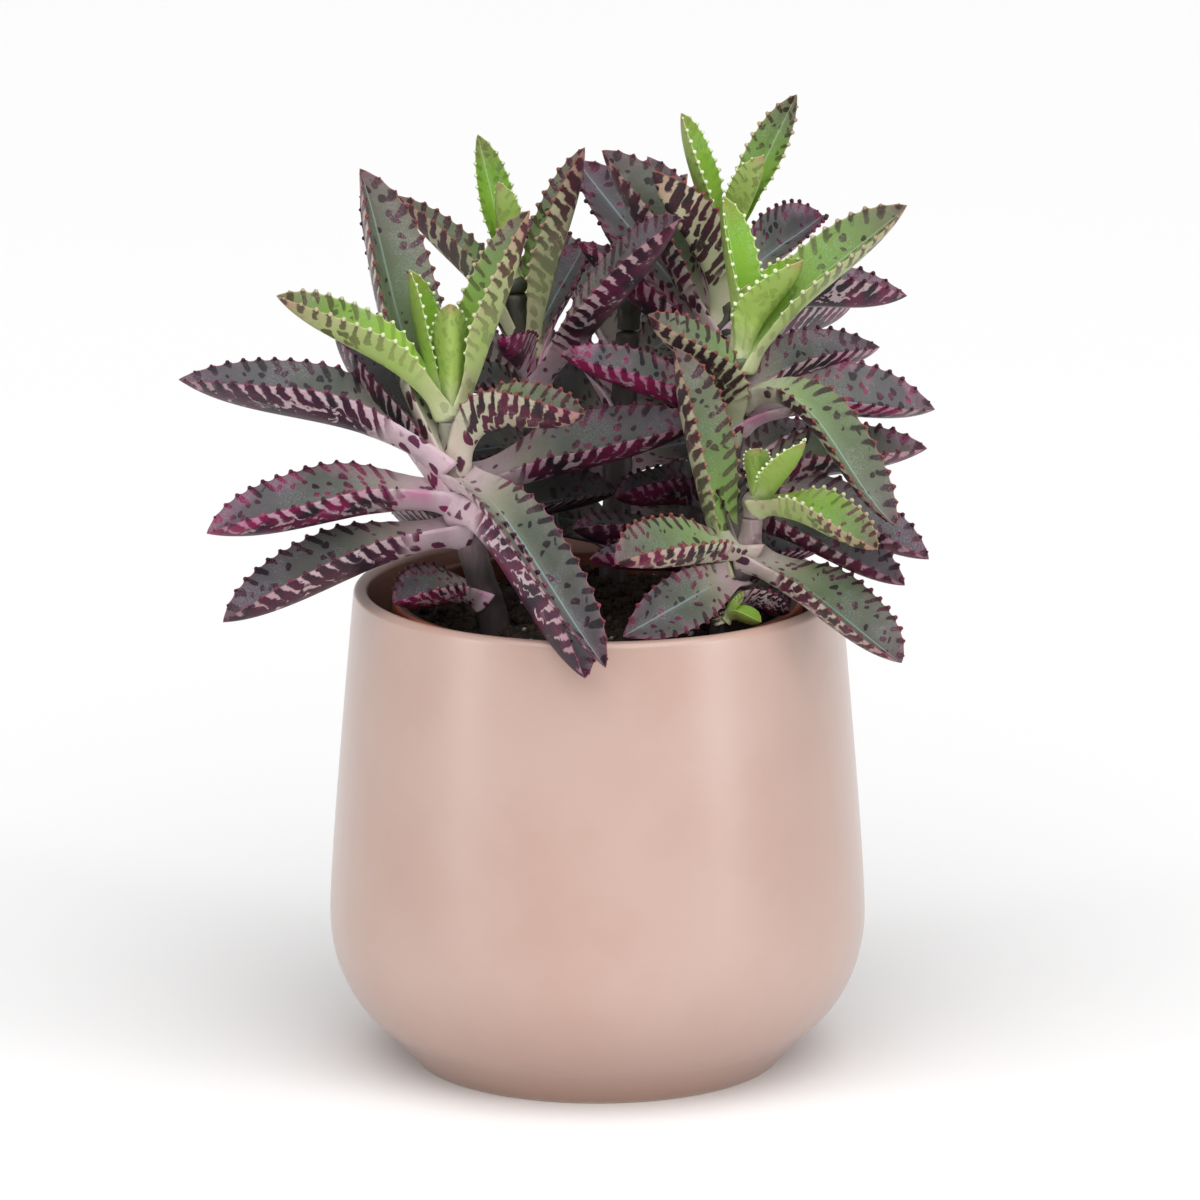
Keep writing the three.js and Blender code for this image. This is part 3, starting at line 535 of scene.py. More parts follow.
# A leaf is the height at which it leaves the stem, the place of its tip in three numbers, its
# width, the arch and sway of its spine, its roll about its length and the fold of its halves in
# degrees, its age from 0, new and green, to 1, old and purple, and how much it blushes pink.
LEAVES = {
    "left": [
        (152, -100, -17, 172, 25, 4.5, 0, -5, 30, 0.9, 0.15),
        (144, -93, -33, 138, 26, 3, 0, -5, 30, 0.95, 0.8),
        (136, -89, -40, 118, 24, 3, 0, 0, 30, 0.9, 0.15),
        (148, 2, -77, 116, 19, 9.5, 2, 10, 45, 0.8, 0.2),
        (141, -3, -71, 112, 22, 5, 6, -35, 35, 0.9, 0.35),
        (147, 25, -22, 162, 24, 0, 0, 15, 30, 0.95, 0.55),
        (149, -3, -46, 170, 17, 9, 0, 5, 50, 0.6, 0.3),
        (154, -57, 5, 219, 24, -1, -3, 6, 30, 0.6, 0.2),
        (151, -57, 21, 210, 19, -3, 0, 0, 35, 0.9, 0.3),
        (164, -76, -34, 196, 16, 3.5, 0, -20, 40, 0.25, 0.1),
        (166, -45, -13, 198, 12, -1, 0, 0, 30, 0, 0),
        (166, -35, -24, 192, 11, -1, 0, 0, 40, 0.1, 0),
        (164, -16, -21, 214, 16, 0, 0, 35, 45, 0.3, 0.2),
        (143, -63, 0, 178, 24, 1, 0, 0, 40, 0.95, 0.3),
        (119, -49, -24, 119, 19, 2, 0, -5, 25, 1, 0.7),
        (136, 5, 4, 140, 18, 2, 0, 25, 35, 1, 0.3),
        (132, -49, 8, 133, 14, 2, 0, 0, 35, 1, 0.3),
    ],
    "back_left": [
        (188, -29, 27, 223, 11, -0.5, 0, -30, 40, 0.15, 0),
        (188, -24, 14, 214, 9, 0, 0, 0, 40, 0.1, 0),
        (171, -49, 27, 208, 12, 3.5, 0, -10, 50, 0.45, 0.15),
        (170, -3, 16, 222, 15, 1.5, 0, 25, 40, 0.4, 0.2),
        (164, 20, -20, 212, 21, 0, 0, 38, 32, 0.85, 0.3),
        (165, -3, 40, 194, 17, 3, 0, 0, 35, 0.95, 0.7),
        (164, -24, -4, 179, 13, 2, 0, 0, 45, 0.95, 0.8),
        (156, -58, 42, 174, 19, 4, 0, 0, 40, 0.9, 0.3),
        (160, -24, 66, 184, 18, 4, 0, 0, 40, 0.9, 0.3),
        (144, -48, 52, 144, 18, 5, 0, 0, 40, 1, 0.3),
        (127, -42, 31, 124, 16, 3, 0, 0, 35, 1, 0.3),
        (145, -38, 8, 148, 17, 3, 0, -30, 35, 1, 0.3),
        (159, -36, 13, 165, 13, 2, 0, -20, 35, 1, 0.3),
    ],
    "back_right": [
        (199, 20, 13, 231, 13, 0, 0, -25, 20, 0.1, 0),
        (199, 48, 21, 234, 13, 0, 0, 55, 50, 0.3, 0.05),
        (200, 40, 6, 222, 10, 0, 0, 0, 40, 0.15, 0),
        (178, 13, -8, 221, 15, 5, 0, -10, 50, 0.5, 0.15),
        (178, 12, 35, 216, 13, 3, 0, 0, 40, 0.8, 0.5),
        (184, 55, 52, 198, 18, 3.5, 0, 25, 50, 0.9, 0.55),
        (178, 1, 7, 223, 20, 0, 0, -35, 35, 0.7, 0.2),
        (164, -5, 20, 198, 16, 3, 0, 0, 40, 0.95, 0.6),
        (166, 0, 34, 201, 15, 3, 0, 0, 40, 0.95, 0.8),
        (177, 75, 23, 184, 18, 6, 0, 5, 40, 0.9, 0.4),
        (166, 62, 56, 174, 18, 4, 0, 0, 40, 0.9, 0.3),
        (156, 50, 62, 168, 18, 4, 0, 0, 40, 1, 0.3),
        (128, 46, 33, 126, 16, 3, 0, 0, 35, 1, 0.3),
        (171, -5, 40, 214, 19, 3, 0, -30, 30, 0.9, 0.6),
    ],
    "right": [
        (177, 30, -3, 214, 12, 2, 0, -15, 40, 0, 0),
        (175, 49, -12, 200, 15, 2.5, 0, 15, 45, 0.1, 0),
        (173, 74, -5, 212, 18, 3, 0, 25, 30, 0.3, 0.05),
        (155, 12, -27, 190, 16, 7, 0, -38, 40, 0.5, 0.1),
        (174, 36, -11, 194, 6, 0, 0, 0, 40, 0, 0),
        (161, 68, 6, 175, 17, 6, 0, 15, 35, 0.95, 0.35),
        (159, 81, -5, 162, 20, 5.5, 0, 25, 35, 0.85, 0.95),
        (164, 71, -43, 142, 16, 13, 0, 10, 40, 0.6, 0.1),
        (157, -9, -16, 178, 16, 3, 0, -20, 35, 0.95, 1),
        (141, 79, -12, 154, 19, 3, 0, 15, 35, 0.75, 0.5),
        (143, 79, -30, 131, 19, 4, 0, 5, 35, 0.95, 0.3),
        (136, 73, -40, 127, 17, 4, 0, 5, 35, 1, 0.4),
        (138, 4, -16, 143, 16, 3, 0, 0, 40, 1, 1),
        (122, -6, -24, 137, 17, 4, 0, 0, 35, 1, 0.4),
        (144, 66, 24, 148, 18, 5, 0, 0, 40, 1, 0.3),
        (122, 54, 6, 125, 15, 2, 0, 20, 35, 1, 0.3),
    ],
    "front_right": [
        (127, 18, -31, 183, 18, -1, 0, -50, 35, 0.45, 0.15),
        (145, 49, -49, 164, 10, 0, 0, 20, 25, 0, 0),
        (145, 38, -34, 159, 8, 0, 0, 0, 40, 0.1, 0),
        (144, 66, -58, 140, 15, 2.5, 0, 5, 40, 0.3, 0.35),
        (134, 4, -59, 137, 20, 0.5, 0, -15, 40, 0.6, 0.45),
        (132, 72, -52, 111, 22, 1.5, 0, 0, 25, 0.7, 0.25),
        (127, 6, -50, 117, 17, 3, 0, -60, 40, 0.8, 0.6),
        (120, 46, -26, 117, 15, 2, 0, 0, 35, 1, 0.3),
        (132, 22, -12, 159, 13, 1, 0, 0, 40, 0.8, 0.2),
        (125, -2, -30, 131, 14, 3, 0, 0, 40, 1, 0.8),
    ],
    "back": [
        (179, 22, 44, 210, 12, 0, 0, 0, 40, 0.3, 0.1),
        (179, 6, 50, 206, 11, 0, 0, 0, 40, 0.2, 0.1),
        (164, -20, 68, 194, 17, 3, 0, 0, 40, 0.8, 0.3),
        (162, 22, 76, 190, 18, 4, 0, 0, 40, 0.9, 0.3),
        (154, -30, 78, 158, 19, 6, 0, 0, 40, 0.95, 0.3),
        (148, 10, 92, 156, 19, 6, 0, 0, 40, 1, 0.3),
        (144, 48, 74, 144, 18, 6, 0, 0, 40, 1, 0.3),
        (122, -24, 46, 125, 22, 3, 0, -40, 30, 1, 0.3),
        (127, 34, 46, 129, 19, 3, 0, 40, 30, 1, 0.3),
        (136, -23, 50, 140, 19, 3, 0, -40, 30, 1, 0.3),
        (139, 34, 54, 143, 19, 3, 0, 40, 30, 1, 0.3),
        (151, -20, 48, 156, 18, 3, 0, -45, 30, 1, 0.3),
        (153, 28, 46, 159, 17, 3, 0, 45, 30, 1, 0.3),
        (162, 27, 46, 174, 15, 3, 0, 45, 30, 0.9, 0.3),
    ],
    "seedling": [
        (118, 39, -36, 117, 7, 1.5, 0, 0, 25, 0, 0),
        (118.5, 35, -33, 124, 4, 0, 0, 0, 30, 0.2, 0),
        (116.5, 26, -37, 118.5, 6, 1.5, 0, 0, 25, 0.5, 0),
    ],
}
CROWN_AGE, CROWN_GAP = 0.32, 0.3
STEM_SIDES, STEM_RINGS = 20, 90
NODE_SWELL, NODE_REACH = 0.12, 1.6
# Painted shade of leaves and stems centres this far behind the middle; a leaf's fades out between these
# distances and heights.
SHADE_BACK, LEAF_SHADE_REACH, LEAF_SHADE_TOP = 20.0, (38, 62), (150, 180)
LEAF_COLUMNS, STALK_ROWS, ROWS_A_TOOTH = 14, 16, 8
TEETH_START, TOOTH_LENGTH, NOTCH_DEPTH, TOOTH_PEAK = 0.24, 0.6, 0.05, 0.6
FULL_TEETH_WIDTH, BEAD_RADIUS = 14, 0.58


def ease(low, high, x):
    """A soft step: 0 below low, 1 above high, and 3 t squared less 2 t cubed between."""
    t = np.clip((x - low) / (high - low), 0, 1)
    return t * t * (3 - 2 * t)


def unit(v):
    return v / np.linalg.norm(v, axis=-1, keepdims=True)


def stem_line(points, share):
    """Points on a smooth curve through the stem's points at shares of 0 to 1: between two points
    it is a cubic whose end slopes come from the neighbours, spaced by the root of their distance."""
    points = np.array(points, float)
    points = np.concatenate([[2 * points[0] - points[1]], points, [2 * points[-1] - points[-2]]])
    place = np.asarray(share, float) * (len(points) - 3)
    cell = np.minimum(np.floor(place).astype(int), len(points) - 4)
    t = (place - cell)[..., None]
    p0, p1, p2, p3 = (points[cell + k] for k in range(4))
    gap = [np.sqrt(np.linalg.norm(b - a, axis=-1, keepdims=True)) for a, b in ((p0, p1), (p1, p2), (p2, p3))]
    first = ((p1 - p0) / gap[0] - (p2 - p0) / (gap[0] + gap[1]) + (p2 - p1) / gap[1]) * gap[1]
    second = ((p2 - p1) / gap[1] - (p3 - p1) / (gap[1] + gap[2]) + (p3 - p2) / gap[2]) * gap[1]
    square, cube = 3 * (p2 - p1) - 2 * first - second, 2 * (p1 - p2) + first + second
    return p1 + first * t + square * t**2 + cube * t**3


def stem_at(points, height):
    """The point of a stem at a height, found by halving."""
    low, high = 0.0, 1.0
    for _ in range(24):
        middle = (low + high) / 2
        low, high = (middle, high) if stem_line(points, middle)[2] < height else (low, middle)
    return stem_line(points, low)


def stem_skin(radii, points, low, high, nodes):
    """A rod along the stem between two heights. Its radius narrows evenly, swells by an eighth at
    each height in nodes, where leaves join, and ripples a little round and along."""
    share = np.linspace(0, 1, STEM_RINGS)
    middle = stem_line(points, share)
    kept = (middle[:, 2] >= low) & (middle[:, 2] <= high)
    share, middle = share[kept], middle[kept]
    x, y, z = (middle[:, k, None] for k in range(3))
    swell = sum(np.exp(-(((z - h) / NODE_REACH) ** 2)) for h in nodes)
    radius = (radii[0] + (radii[1] - radii[0]) * share[:, None]) * (1 + NODE_SWELL * swell)
    angle = np.linspace(0, 2 * math.pi, STEM_SIDES, endpoint=False)
    ripple = 1 + 0.035 * np.sin(3 * angle + 0.21 * z) + 0.02 * np.sin(7 * angle - 0.5 * z)
    out = radius * ripple
    rings = np.stack([x + out * np.cos(angle), y + out * np.sin(angle), z + 0 * angle], -1)
    return tube(rings, [middle[0], middle[-1] + (0, 0, radius[-1, 0] * 0.5)])


def half_width(u, width):
    """Half the leaf's width along its length: a stalk that opens into a lance-shaped blade,
    widest at its middle, with a pointed tip."""
    opened = 0.4 + 0.6 * ease(0.06, 0.52, u)
    taper = (1 - np.clip((u - 0.5) / 0.5, 0, 1) ** 3) ** 0.85
    return 0.5 * width * opened * taper


def leaf_points(leaf, u, s, below):
    """Points of the leaf's skin for lengths u, a row each, and places across s from -1 to 1, a
    column each. The spine is the straight line from foot to tip plus 6.75 u (1 - u)^2 times the
    hump, which lifts it by arch and pushes it aside by sway a third of the way out. Across it,
    the upper face is a rounded V, with a tooth of each margin pushed out at every step. The lower
    face (where below is 1) lies under it by the thickness times (1 - |s|^2.2)^0.75, or nearer a
    half circle in the stalk."""
    foot, tip, fold = leaf["foot"], leaf["tip"], math.radians(leaf["fold"])
    side, hump = leaf["side"], leaf["hump"]
    u = u[:, None]
    spine = foot + u * (tip - foot) + 6.75 * u * (1 - u) ** 2 * hump
    along = unit(tip - foot + 6.75 * (1 - u) * (1 - 3 * u) * hump)
    across = unit(side - (along @ side)[:, None] * along)
    face = np.cross(across, along)
    stalk = 1 - ease(0.1, 0.42, u)
    lean = fold * (0.55 + 0.45 * ease(0.1, 0.4, u))
    lean = lean * (1 + 0.1 * np.sin(5.1 * u + 40 * leaf["seed"]) * (1 - stalk))
    clasp = 1 + 0.3 * np.exp(-((u / 0.07) ** 2))
    half = half_width(u, leaf["width"]) * clasp * (1 + 0.025 * np.sin(7 * u + 63 * leaf["seed"]))
    phase = leaf["teeth"] * (u - TEETH_START) / (1 - TEETH_START) + 0.5 * (s > 0)
    within = phase % 1
    bump = ease(0.22, TOOTH_PEAK - 0.06, within) * (1 - ease(TOOTH_PEAK + 0.08, 0.9, within))
    bite = leaf["bite"] * ease(TEETH_START - 0.02, TEETH_START + 0.12, u) * np.minimum(1, 7 * (1 - u))
    uneven = 0.85 + 0.3 * np.sin(12.9898 * np.floor(phase) + 78 * leaf["seed"]) ** 2
    reach = bite * (TOOTH_LENGTH * uneven * bump - NOTCH_DEPTH) * np.abs(s) ** 10
    valley = 0.25 + 0.9 * stalk
    rise = (np.sqrt(s**2 + valley**2) - valley) / (np.sqrt(1 + valley**2) - valley)
    thick = leaf["thick"] * (1 - 0.2 * u) * (1 - u**6) * clasp
    depth = np.clip(1 - np.abs(s) ** 2.2, 0, 1) ** (0.75 - 0.25 * stalk)
    pleat = 0.16 * leaf["bite"] * (1 - stalk) * np.abs(s) ** 3 * np.cos(2 * math.pi * (within - TOOTH_PEAK))
    y = half * np.cos(lean) * s + np.sign(s) * np.cos(lean) * reach
    z = half * np.sin(lean) * rise + np.sin(lean) * reach + pleat * (1 - u) ** 0.5 - below * thick * depth
    return spine[:, None] + across[:, None] * y[..., None] + face[:, None] * z[..., None]


def grown_leaf(row, points, teeth_share=1.0):
    """A leaf's measures from its row: its foot is on the stem's middle line, its side is level unless rolled,
    its hump is its arch along its face and its sway along its side, its painted shade is 1 low in the middle
    of the plant, and its seed is its own number between 0 and 1. A margin has 6 teeth and one more for each 9
    mm of the leaf, but at least 7 and at most 14."""
    height, x, y, z, width, arch, sway, roll, fold, age, blush = row
    foot, tip = stem_at(points, height), np.array([x, y, z], float)
    along = unit(tip - foot)
    side = unit(np.cross(along, [0, 0, 1]))
    turn = math.radians(roll)
    side = side * math.cos(turn) + np.cross(along, side) * math.sin(turn)
    face = np.cross(side, along)
    length, aside = np.linalg.norm(tip - foot), math.hypot(x, y - SHADE_BACK)
    return {
        "foot": foot, "tip": tip, "side": side, "width": width, "fold": fold, "age": age, "blush": blush,
        "hump": arch * face + sway * side,
        "shade": (1 - ease(*LEAF_SHADE_REACH, aside)) * (1 - ease(*LEAF_SHADE_TOP, z)),
        "thick": 1.3 + 0.14 * width, "bite": min(1, width / FULL_TEETH_WIDTH) * teeth_share,
        "teeth": int(round(np.clip(6 + length / 9, 7, 14))), "length": length,
        "seed": (height * 0.6180339 + x * 0.7548777 + y * 0.5698403) % 1,
    }


def point_marks(leaf, blade, under, along, bead):
    """The marks of a skin's points, of which age, seed, blush and shade are the whole leaf's."""
    count = len(blade)
    return {
        "blade": blade,
        "under": under,
        "along": along,
        "nature": np.tile([leaf["age"], leaf["seed"], leaf["blush"]], (count, 1)),
        "bead": np.full(count, bead),
        "shade": np.full(count, leaf["shade"]),
    }


def from_margin(steps):
    """The distance from the nearer end of each row of steps, at every point between them."""
    walked = np.cumsum(np.pad(steps, ((0, 0), (1, 0))), axis=1)
    return np.minimum(walked, walked[:, -1:] - walked)


def leaf_skin(leaf):
    """The leaf as rings round its section: from the left margin under the keel to the right
    margin, and back over the upper face. Its marks are the count of teeth along, the distance in
    from the margin in tooth steps, the place across, the length share, and which face it is."""
    n = LEAF_COLUMNS
    under_s = -np.cos(math.pi * np.arange(n + 1) / n)
    s = np.concatenate([under_s, -under_s[1:-1]])
    below = np.concatenate([np.ones(n + 1), np.zeros(n - 1)])
    u = np.concatenate([
        np.linspace(0, TEETH_START, STALK_ROWS, endpoint=False),
        np.linspace(TEETH_START, 1, leaf["teeth"] * ROWS_A_TOOTH, endpoint=False),
    ])
    rings = leaf_points(leaf, u, s, below)
    skin = tube(rings, [leaf["foot"], leaf["tip"]])
    pitch = leaf["length"] * (1 - TEETH_START) / leaf["teeth"]
    steps = np.linalg.norm(np.diff(np.concatenate([rings, rings[:, :1]], 1), axis=1), axis=-1) / pitch
    inset = np.concatenate([from_margin(steps[:, :n]), from_margin(steps[:, n:])[:, 1:-1]], 1)
    phase = np.broadcast_to((leaf["teeth"] * (u - TEETH_START) / (1 - TEETH_START))[:, None], inset.shape)
    face = below.copy()
    face[[0, n]] = 0.5
    blade = np.stack([phase, inset, np.broadcast_to(s, inset.shape)], -1).reshape(-1, 3)
    skin["marks"] = point_marks(
        leaf,
        np.concatenate([blade, [[phase[0, 0], 1, 0], [leaf["teeth"], 0, 0]]]),
        np.concatenate([np.broadcast_to(face, inset.shape).ravel(), [1, 0.5]]),
        np.concatenate([np.repeat(u, 2 * n), [0, 1]]),
        bead=0.0,
    )
    return skin


def bead_skins(leaf):
    """The knobs at the tooth tips: balls of 6 by 3 points and two poles, each centred just inside
    the tip of its tooth. They are smaller towards the leaf's two ends."""
    knob = ball(6, np.array([-0.25, 0, 0.25]) * math.pi)
    made = []
    for side, shift in ((-1, 0.0), (1, -0.5)):
        tooth = np.arange(leaf["teeth"]) + TOOTH_PEAK + shift
        u = TEETH_START + (1 - TEETH_START) * tooth / leaf["teeth"]
        u = u[(u > TEETH_START + 0.03) & (u < 0.99)]
        tips, inner = (leaf_points(leaf, u, np.array([side * s]), np.zeros(1))[:, 0] for s in (1.0, 0.9))
        sizes = np.minimum(1, 0.45 + 3.5 * (1 - u)) * (0.6 + 0.4 * ease(0.28, 0.45, u))
        for share, tip, inward, size in zip(u, tips, inner, sizes):
            radius = BEAD_RADIUS * leaf["bite"] * size
            middle = tip + unit(inward - tip) * radius * 0.4
            skin = tube(knob * radius + middle, [middle - (0, 0, radius), middle + (0, 0, radius)])
            count = len(skin["points"])
            blade = np.tile([0.0, 1.0, side], (count, 1))
            skin["marks"] = point_marks(leaf, blade, np.zeros(count), np.full(count, share), bead=1.0)
            made.append(skin)
    return made


def group(name, given, results):
    """An empty node group with named inputs and outputs, each as (name, kind)."""
    tree = bpy.data.node_groups.new(name, "ShaderNodeTree")
    for direction, sockets in (("INPUT", given), ("OUTPUT", results)):
        for label, kind in sockets:
            tree.interface.new_socket(label, in_out=direction, socket_type="NodeSocket" + kind)
    return Board(tree), tree.nodes.new("NodeGroupInput").outputs, tree.nodes.new("NodeGroupOutput").inputs


def use_group(board, name, inputs):
    return board.node("Group", inputs, node_tree=bpy.data.node_groups[name]).outputs


def leaf_marks_group():
    """The dark markings, from the blade mark (teeth along, distance in, place across). Under the
    leaf a stripe runs in from each tooth and leans back to the foot, with rounded blots beyond it
    and a broken band along the keel. Above, there is a short streak at each tooth and a scatter
    of spots."""
    board, given, result = group(
        "leaf_marks",
        [("Blade", "Vector"), ("Seed", "Float"), ("Keel", "Float"), ("Growth", "Float")],
        [("Under", "Float"), ("Upper", "Float"), ("Patch", "Float")],
    )
    calc, times, scaled, less, fade = board.calc, board.times, board.scaled, board.less, board.fade
    phase, inset, across = board.split(given["Blade"])
    right = calc("GREATER_THAN", across, 0.0)
    own = scaled(given["Seed"], 97.0, times(right, 31.7))
    tooth = scaled(right, 0.5, phase)
    place = board.point(tooth, inset, own)
    sway = less(board.noise(place, 1.3), 0.5)
    ragged = less(board.noise(place, 3.6), 0.5)

    def own_numbers(made):
        """Three random numbers from the colour that a node gives each cell."""
        return board.node("SeparateColor", {"Color": made.outputs["Color"]}).outputs

    def bars(line, row, rough):
        """Bars one step apart along a line: each bar's own numbers, and a point's rough distance
        from the middle of its bar."""
        count = calc("FLOOR", line)
        cell = board.node("TexWhiteNoise", {"Vector": board.point(count, row, own)}, noise_dimensions="3D")
        off = calc("ABSOLUTE", less(less(line, count), 0.5))
        return own_numbers(cell), scaled(ragged, rough, off)

    def bar(off, wide, long, edge, point):
        """A bar as wide to each side and as long from the margin as given, with a soft edge and a
        point at its inner end."""
        reach = less(scaled(times(off, off), point, inset), long)
        return times(fade(less(off, wide), *edge), fade(reach, 0.06, -0.06))

    def spots(x, y, scale, vary, least, rough, edge, rare):
        """Rounded spots, one in each cell of a scatter. Each has its own size, and those whose
        own number is under rare are left out."""
        inputs = {"Vector": board.point(x, y, times(own, 5.0)), "Scale": scale, "Randomness": 0.85}
        cell = board.node("TexVoronoi", inputs)
        dice = own_numbers(cell)
        over = less(scaled(ragged, rough, cell.outputs["Distance"]), scaled(dice[0], vary, least))
        return times(fade(over, *edge), calc("GREATER_THAN", dice[1], rare))

    lean = times(inset, scaled(inset, 0.1, 0.4))
    slant = calc("ADD", calc("ADD", tooth, lean), scaled(sway, 0.5, 0.5 - TOOTH_PEAK))
    dice, off = bars(slant, row=0.0, rough=0.2)
    wide = scaled(calc("MINIMUM", inset, 1.6), 0.1, scaled(dice[0], 0.2, 0.14))
    wide = scaled(fade(phase, 3.0, 6.0), 0.06, wide)
    wide = times(wide, scaled(given["Growth"], 0.45, 0.55))
    long = times(scaled(dice[1], 2.0, 1.2), scaled(given["Growth"], 0.65, 0.35))
    stripe = times(bar(off, wide, long, edge=(0.05, -0.06), point=2.2), fade(phase, -0.2, 1.2))
    rare = scaled(fade(phase, 2.0, -1.0), 0.42, 0.2)
    blot = spots(slant, times(inset, 1.1), scale=1.0, vary=0.26, least=0.34, rough=0.2,
                 edge=(0.05, -0.06), rare=rare)
    blot = times(blot, calc("MAXIMUM", fade(inset, 1.0, 1.4), fade(phase, 1.0, -0.5)))
    keel = scaled(ragged, 0.8, scaled(sway, 1.5, calc("ABSOLUTE", across)))
    keel = times(times(fade(keel, 0.62, 0.52), given["Keel"]), fade(phase, 0.5, 2.5))
    board.feed(result["Under"], calc("MAXIMUM", calc("MAXIMUM", stripe, blot), keel))

    streak = calc("ADD", scaled(inset, 0.5, tooth), scaled(sway, 0.3, 0.5 - TOOTH_PEAK))
    dice, off = bars(streak, row=7.0, rough=0.12)
    wide, long = scaled(dice[0], 0.14, 0.2), scaled(dice[1], 0.6, 0.5)
    dash = bar(off, wide, long, edge=(0.03, -0.03), point=4.0)
    dash = times(dash, fade(phase, -0.6, 0.2))
    dot = spots(tooth, inset, scale=1.35, vary=0.2, least=0.24, rough=0.16,
                edge=(0.035, -0.035), rare=0.34)
    board.feed(result["Upper"], calc("MAXIMUM", dash, times(dot, fade(inset, 0.45, 0.65))))
    board.feed(result["Patch"], board.noise(place, 0.45))


def leaf_skin_group():
    """The leaf's whole skin: grounds that run along the leaf for three ages, the dark markings, the pink
    blush, a pale waxy powder on the upper face that is partly painted sheen, the coloured rim, the pale
    midrib line and the knobs at the teeth, and painted shade that darkens the leaves in the middle of the
    plant."""
    results = [("Colour", "Color"), ("Gloss", "Float"), ("Relief", "Float")]
    board, _, result = group("leaf_skin", [], results)
    calc, times, scaled = board.calc, board.times, board.scaled
    fade, mix, ramp = board.fade, board.mix, board.ramp

    def mark(name, output="Fac"):
        return board.node("Attribute", attribute_name=name).outputs[output]

    along, bead, blade = mark("along"), mark("bead"), mark("blade", "Vector")
    below = calc("GREATER_THAN", mark("under"), 0.5)
    above = board.less(1.0, below)
    age, seed, blush = board.split(mark("nature", "Vector"))
    _, inset, across = board.split(blade)
    old = fade(age, 0.45, 0.9)
    grown = fade(scaled(along, 0.3, age), 0.28, 0.68)

    def by_age(young, middle, aged):
        return mix(old, mix(grown, young, middle), aged)

    given_marks = {"Blade": blade, "Seed": seed, "Keel": fade(age, 0.5, 0.9), "Growth": fade(age, 0.1, 0.5)}
    marks = use_group(board, "leaf_marks", given_marks)
    upper = by_age(
        ramp(along, (0.0, "b4c484"), (0.25, "97bf42"), (0.75, "7fac32"), (1.0, "8f9440")),
        ramp(along, (0.05, "bcc2a4"), (0.3, "7d9a58"), (0.62, "697856"), (0.92, "6d675e"), (1.0, "6c4c54")),
        ramp(along, (0.1, "cfb8bf"), (0.27, "969084"), (0.44, "61665d"), (0.82, "5b575b"), (1.0, "5a484e")),
    )
    under = by_age(
        ramp(along, (0.0, "ccd0a6"), (0.35, "a4be60"), (0.9, "8fa850"), (1.0, "9c7c58")),
        ramp(along, (0.05, "cbc4b2"), (0.3, "bcc19a"), (0.75, "bfb898"), (1.0, "a8746a")),
        ramp(along, (0.05, "d3bcc4"), (0.3, "cfb9be"), (0.75, "bfa8ab"), (1.0, "8e666e")),
    )
    place = board.place()
    clouds = board.noise(place, 190.0, 3.0, 0.55)
    grain = board.noise(place, 2600.0, 2.0, 0.6)
    ground = mix(below, upper, under)
    cloudy = mix(0.5, ground, by_age("6fa93a", "7c9a72", "70697a"))
    ground = mix(times(fade(clouds, 0.45, 0.7), 0.35), ground, cloudy)
    flush = times(fade(marks["Patch"], 0.38, 0.6), blush)
    near_rim = times(fade(inset, 1.8, 0.2), flush)
    ground = mix(times(near_rim, scaled(below, 0.5, 0.3)), ground, "cc78a4")
    dark = by_age("56602e", "2c1a22", ramp(along, (0.18, "5c2444"), (0.4, "1c1221")))
    dark = mix(times(flush, 0.85), dark, "9c1258")
    worn = mix(below, marks["Upper"], marks["Under"])
    faint, full = scaled(below, 0.08, 0.06), scaled(below, 0.12, 0.86)
    half_marked = scaled(fade(along, 0.35, 0.75), 0.6, 0.34)
    strength = mix(fade(age, 0.36, 0.5), mix(fade(age, 0.02, 0.3), faint, half_marked), full)
    skin = mix(times(worn, strength), ground, dark)
    # A waxy bloom on the upper faces, partly real powder and partly painted sheen: pale blue-white flecks in
    # patches.
    bloom_and_sheen = times(fade(marks["Patch"], 0.42, 0.62), above)
    powder_and_sheen = times(fade(grain, 0.42, 0.7), scaled(bloom_and_sheen, 0.13, 0.02))
    skin = mix(powder_and_sheen, skin, "d3dce6")
    midrib = times(fade(calc("ABSOLUTE", across), 0.05, 0.02), above)
    midrib = times(midrib, fade(along, 0.2, 0.4))
    skin = mix(times(midrib, 0.5), skin, by_age("c3dd96", "a3bba6", "93b0b3"))
    rim = times(fade(inset, 0.13, 0.06), fade(along, 0.22, 0.34))
    skin = mix(times(rim, 0.7), skin, by_age("cfe39a", "946a58", "8a4f62"))
    old_knob = mix(fade(clouds, 0.5, 0.7), "40182a", "94405a")
    knob = by_age("e9f2c8", "84463f", old_knob)
    skin = mix(times(bead, 0.95), skin, knob)
    # Painted shade: leaves low in the middle of the plant are darkened towards a near black plum.
    board.feed(result["Colour"], mix(times(mark("shade"), 0.72), skin, "150f12"))
    board.feed(result["Gloss"], scaled(worn, -0.08, scaled(clouds, 0.16, 0.36)))
    board.feed(result["Relief"], scaled(grain, 0.35, times(clouds, 0.65)))


def leaf_finish(name, light_through):
    """A fleshy leaf: the skin's colours over a waxy, slightly translucent body."""
    constants = {"Subsurface_Weight": light_through, "Subsurface_Scale": 0.0015, "Specular_IOR_Level": 0.3}
    made, board, shader = finish(name, IOR=1.42, **constants)
    shader["Subsurface Radius"].default_value = (1.0, 0.7, 0.35)
    skin = use_group(board, "leaf_skin", {})
    board.feed(shader["Base Color"], skin["Colour"])
    board.feed(shader["Roughness"], skin["Gloss"])
    board.feed(shader["Normal"], board.bump(skin["Relief"], 0.00025))
    return made


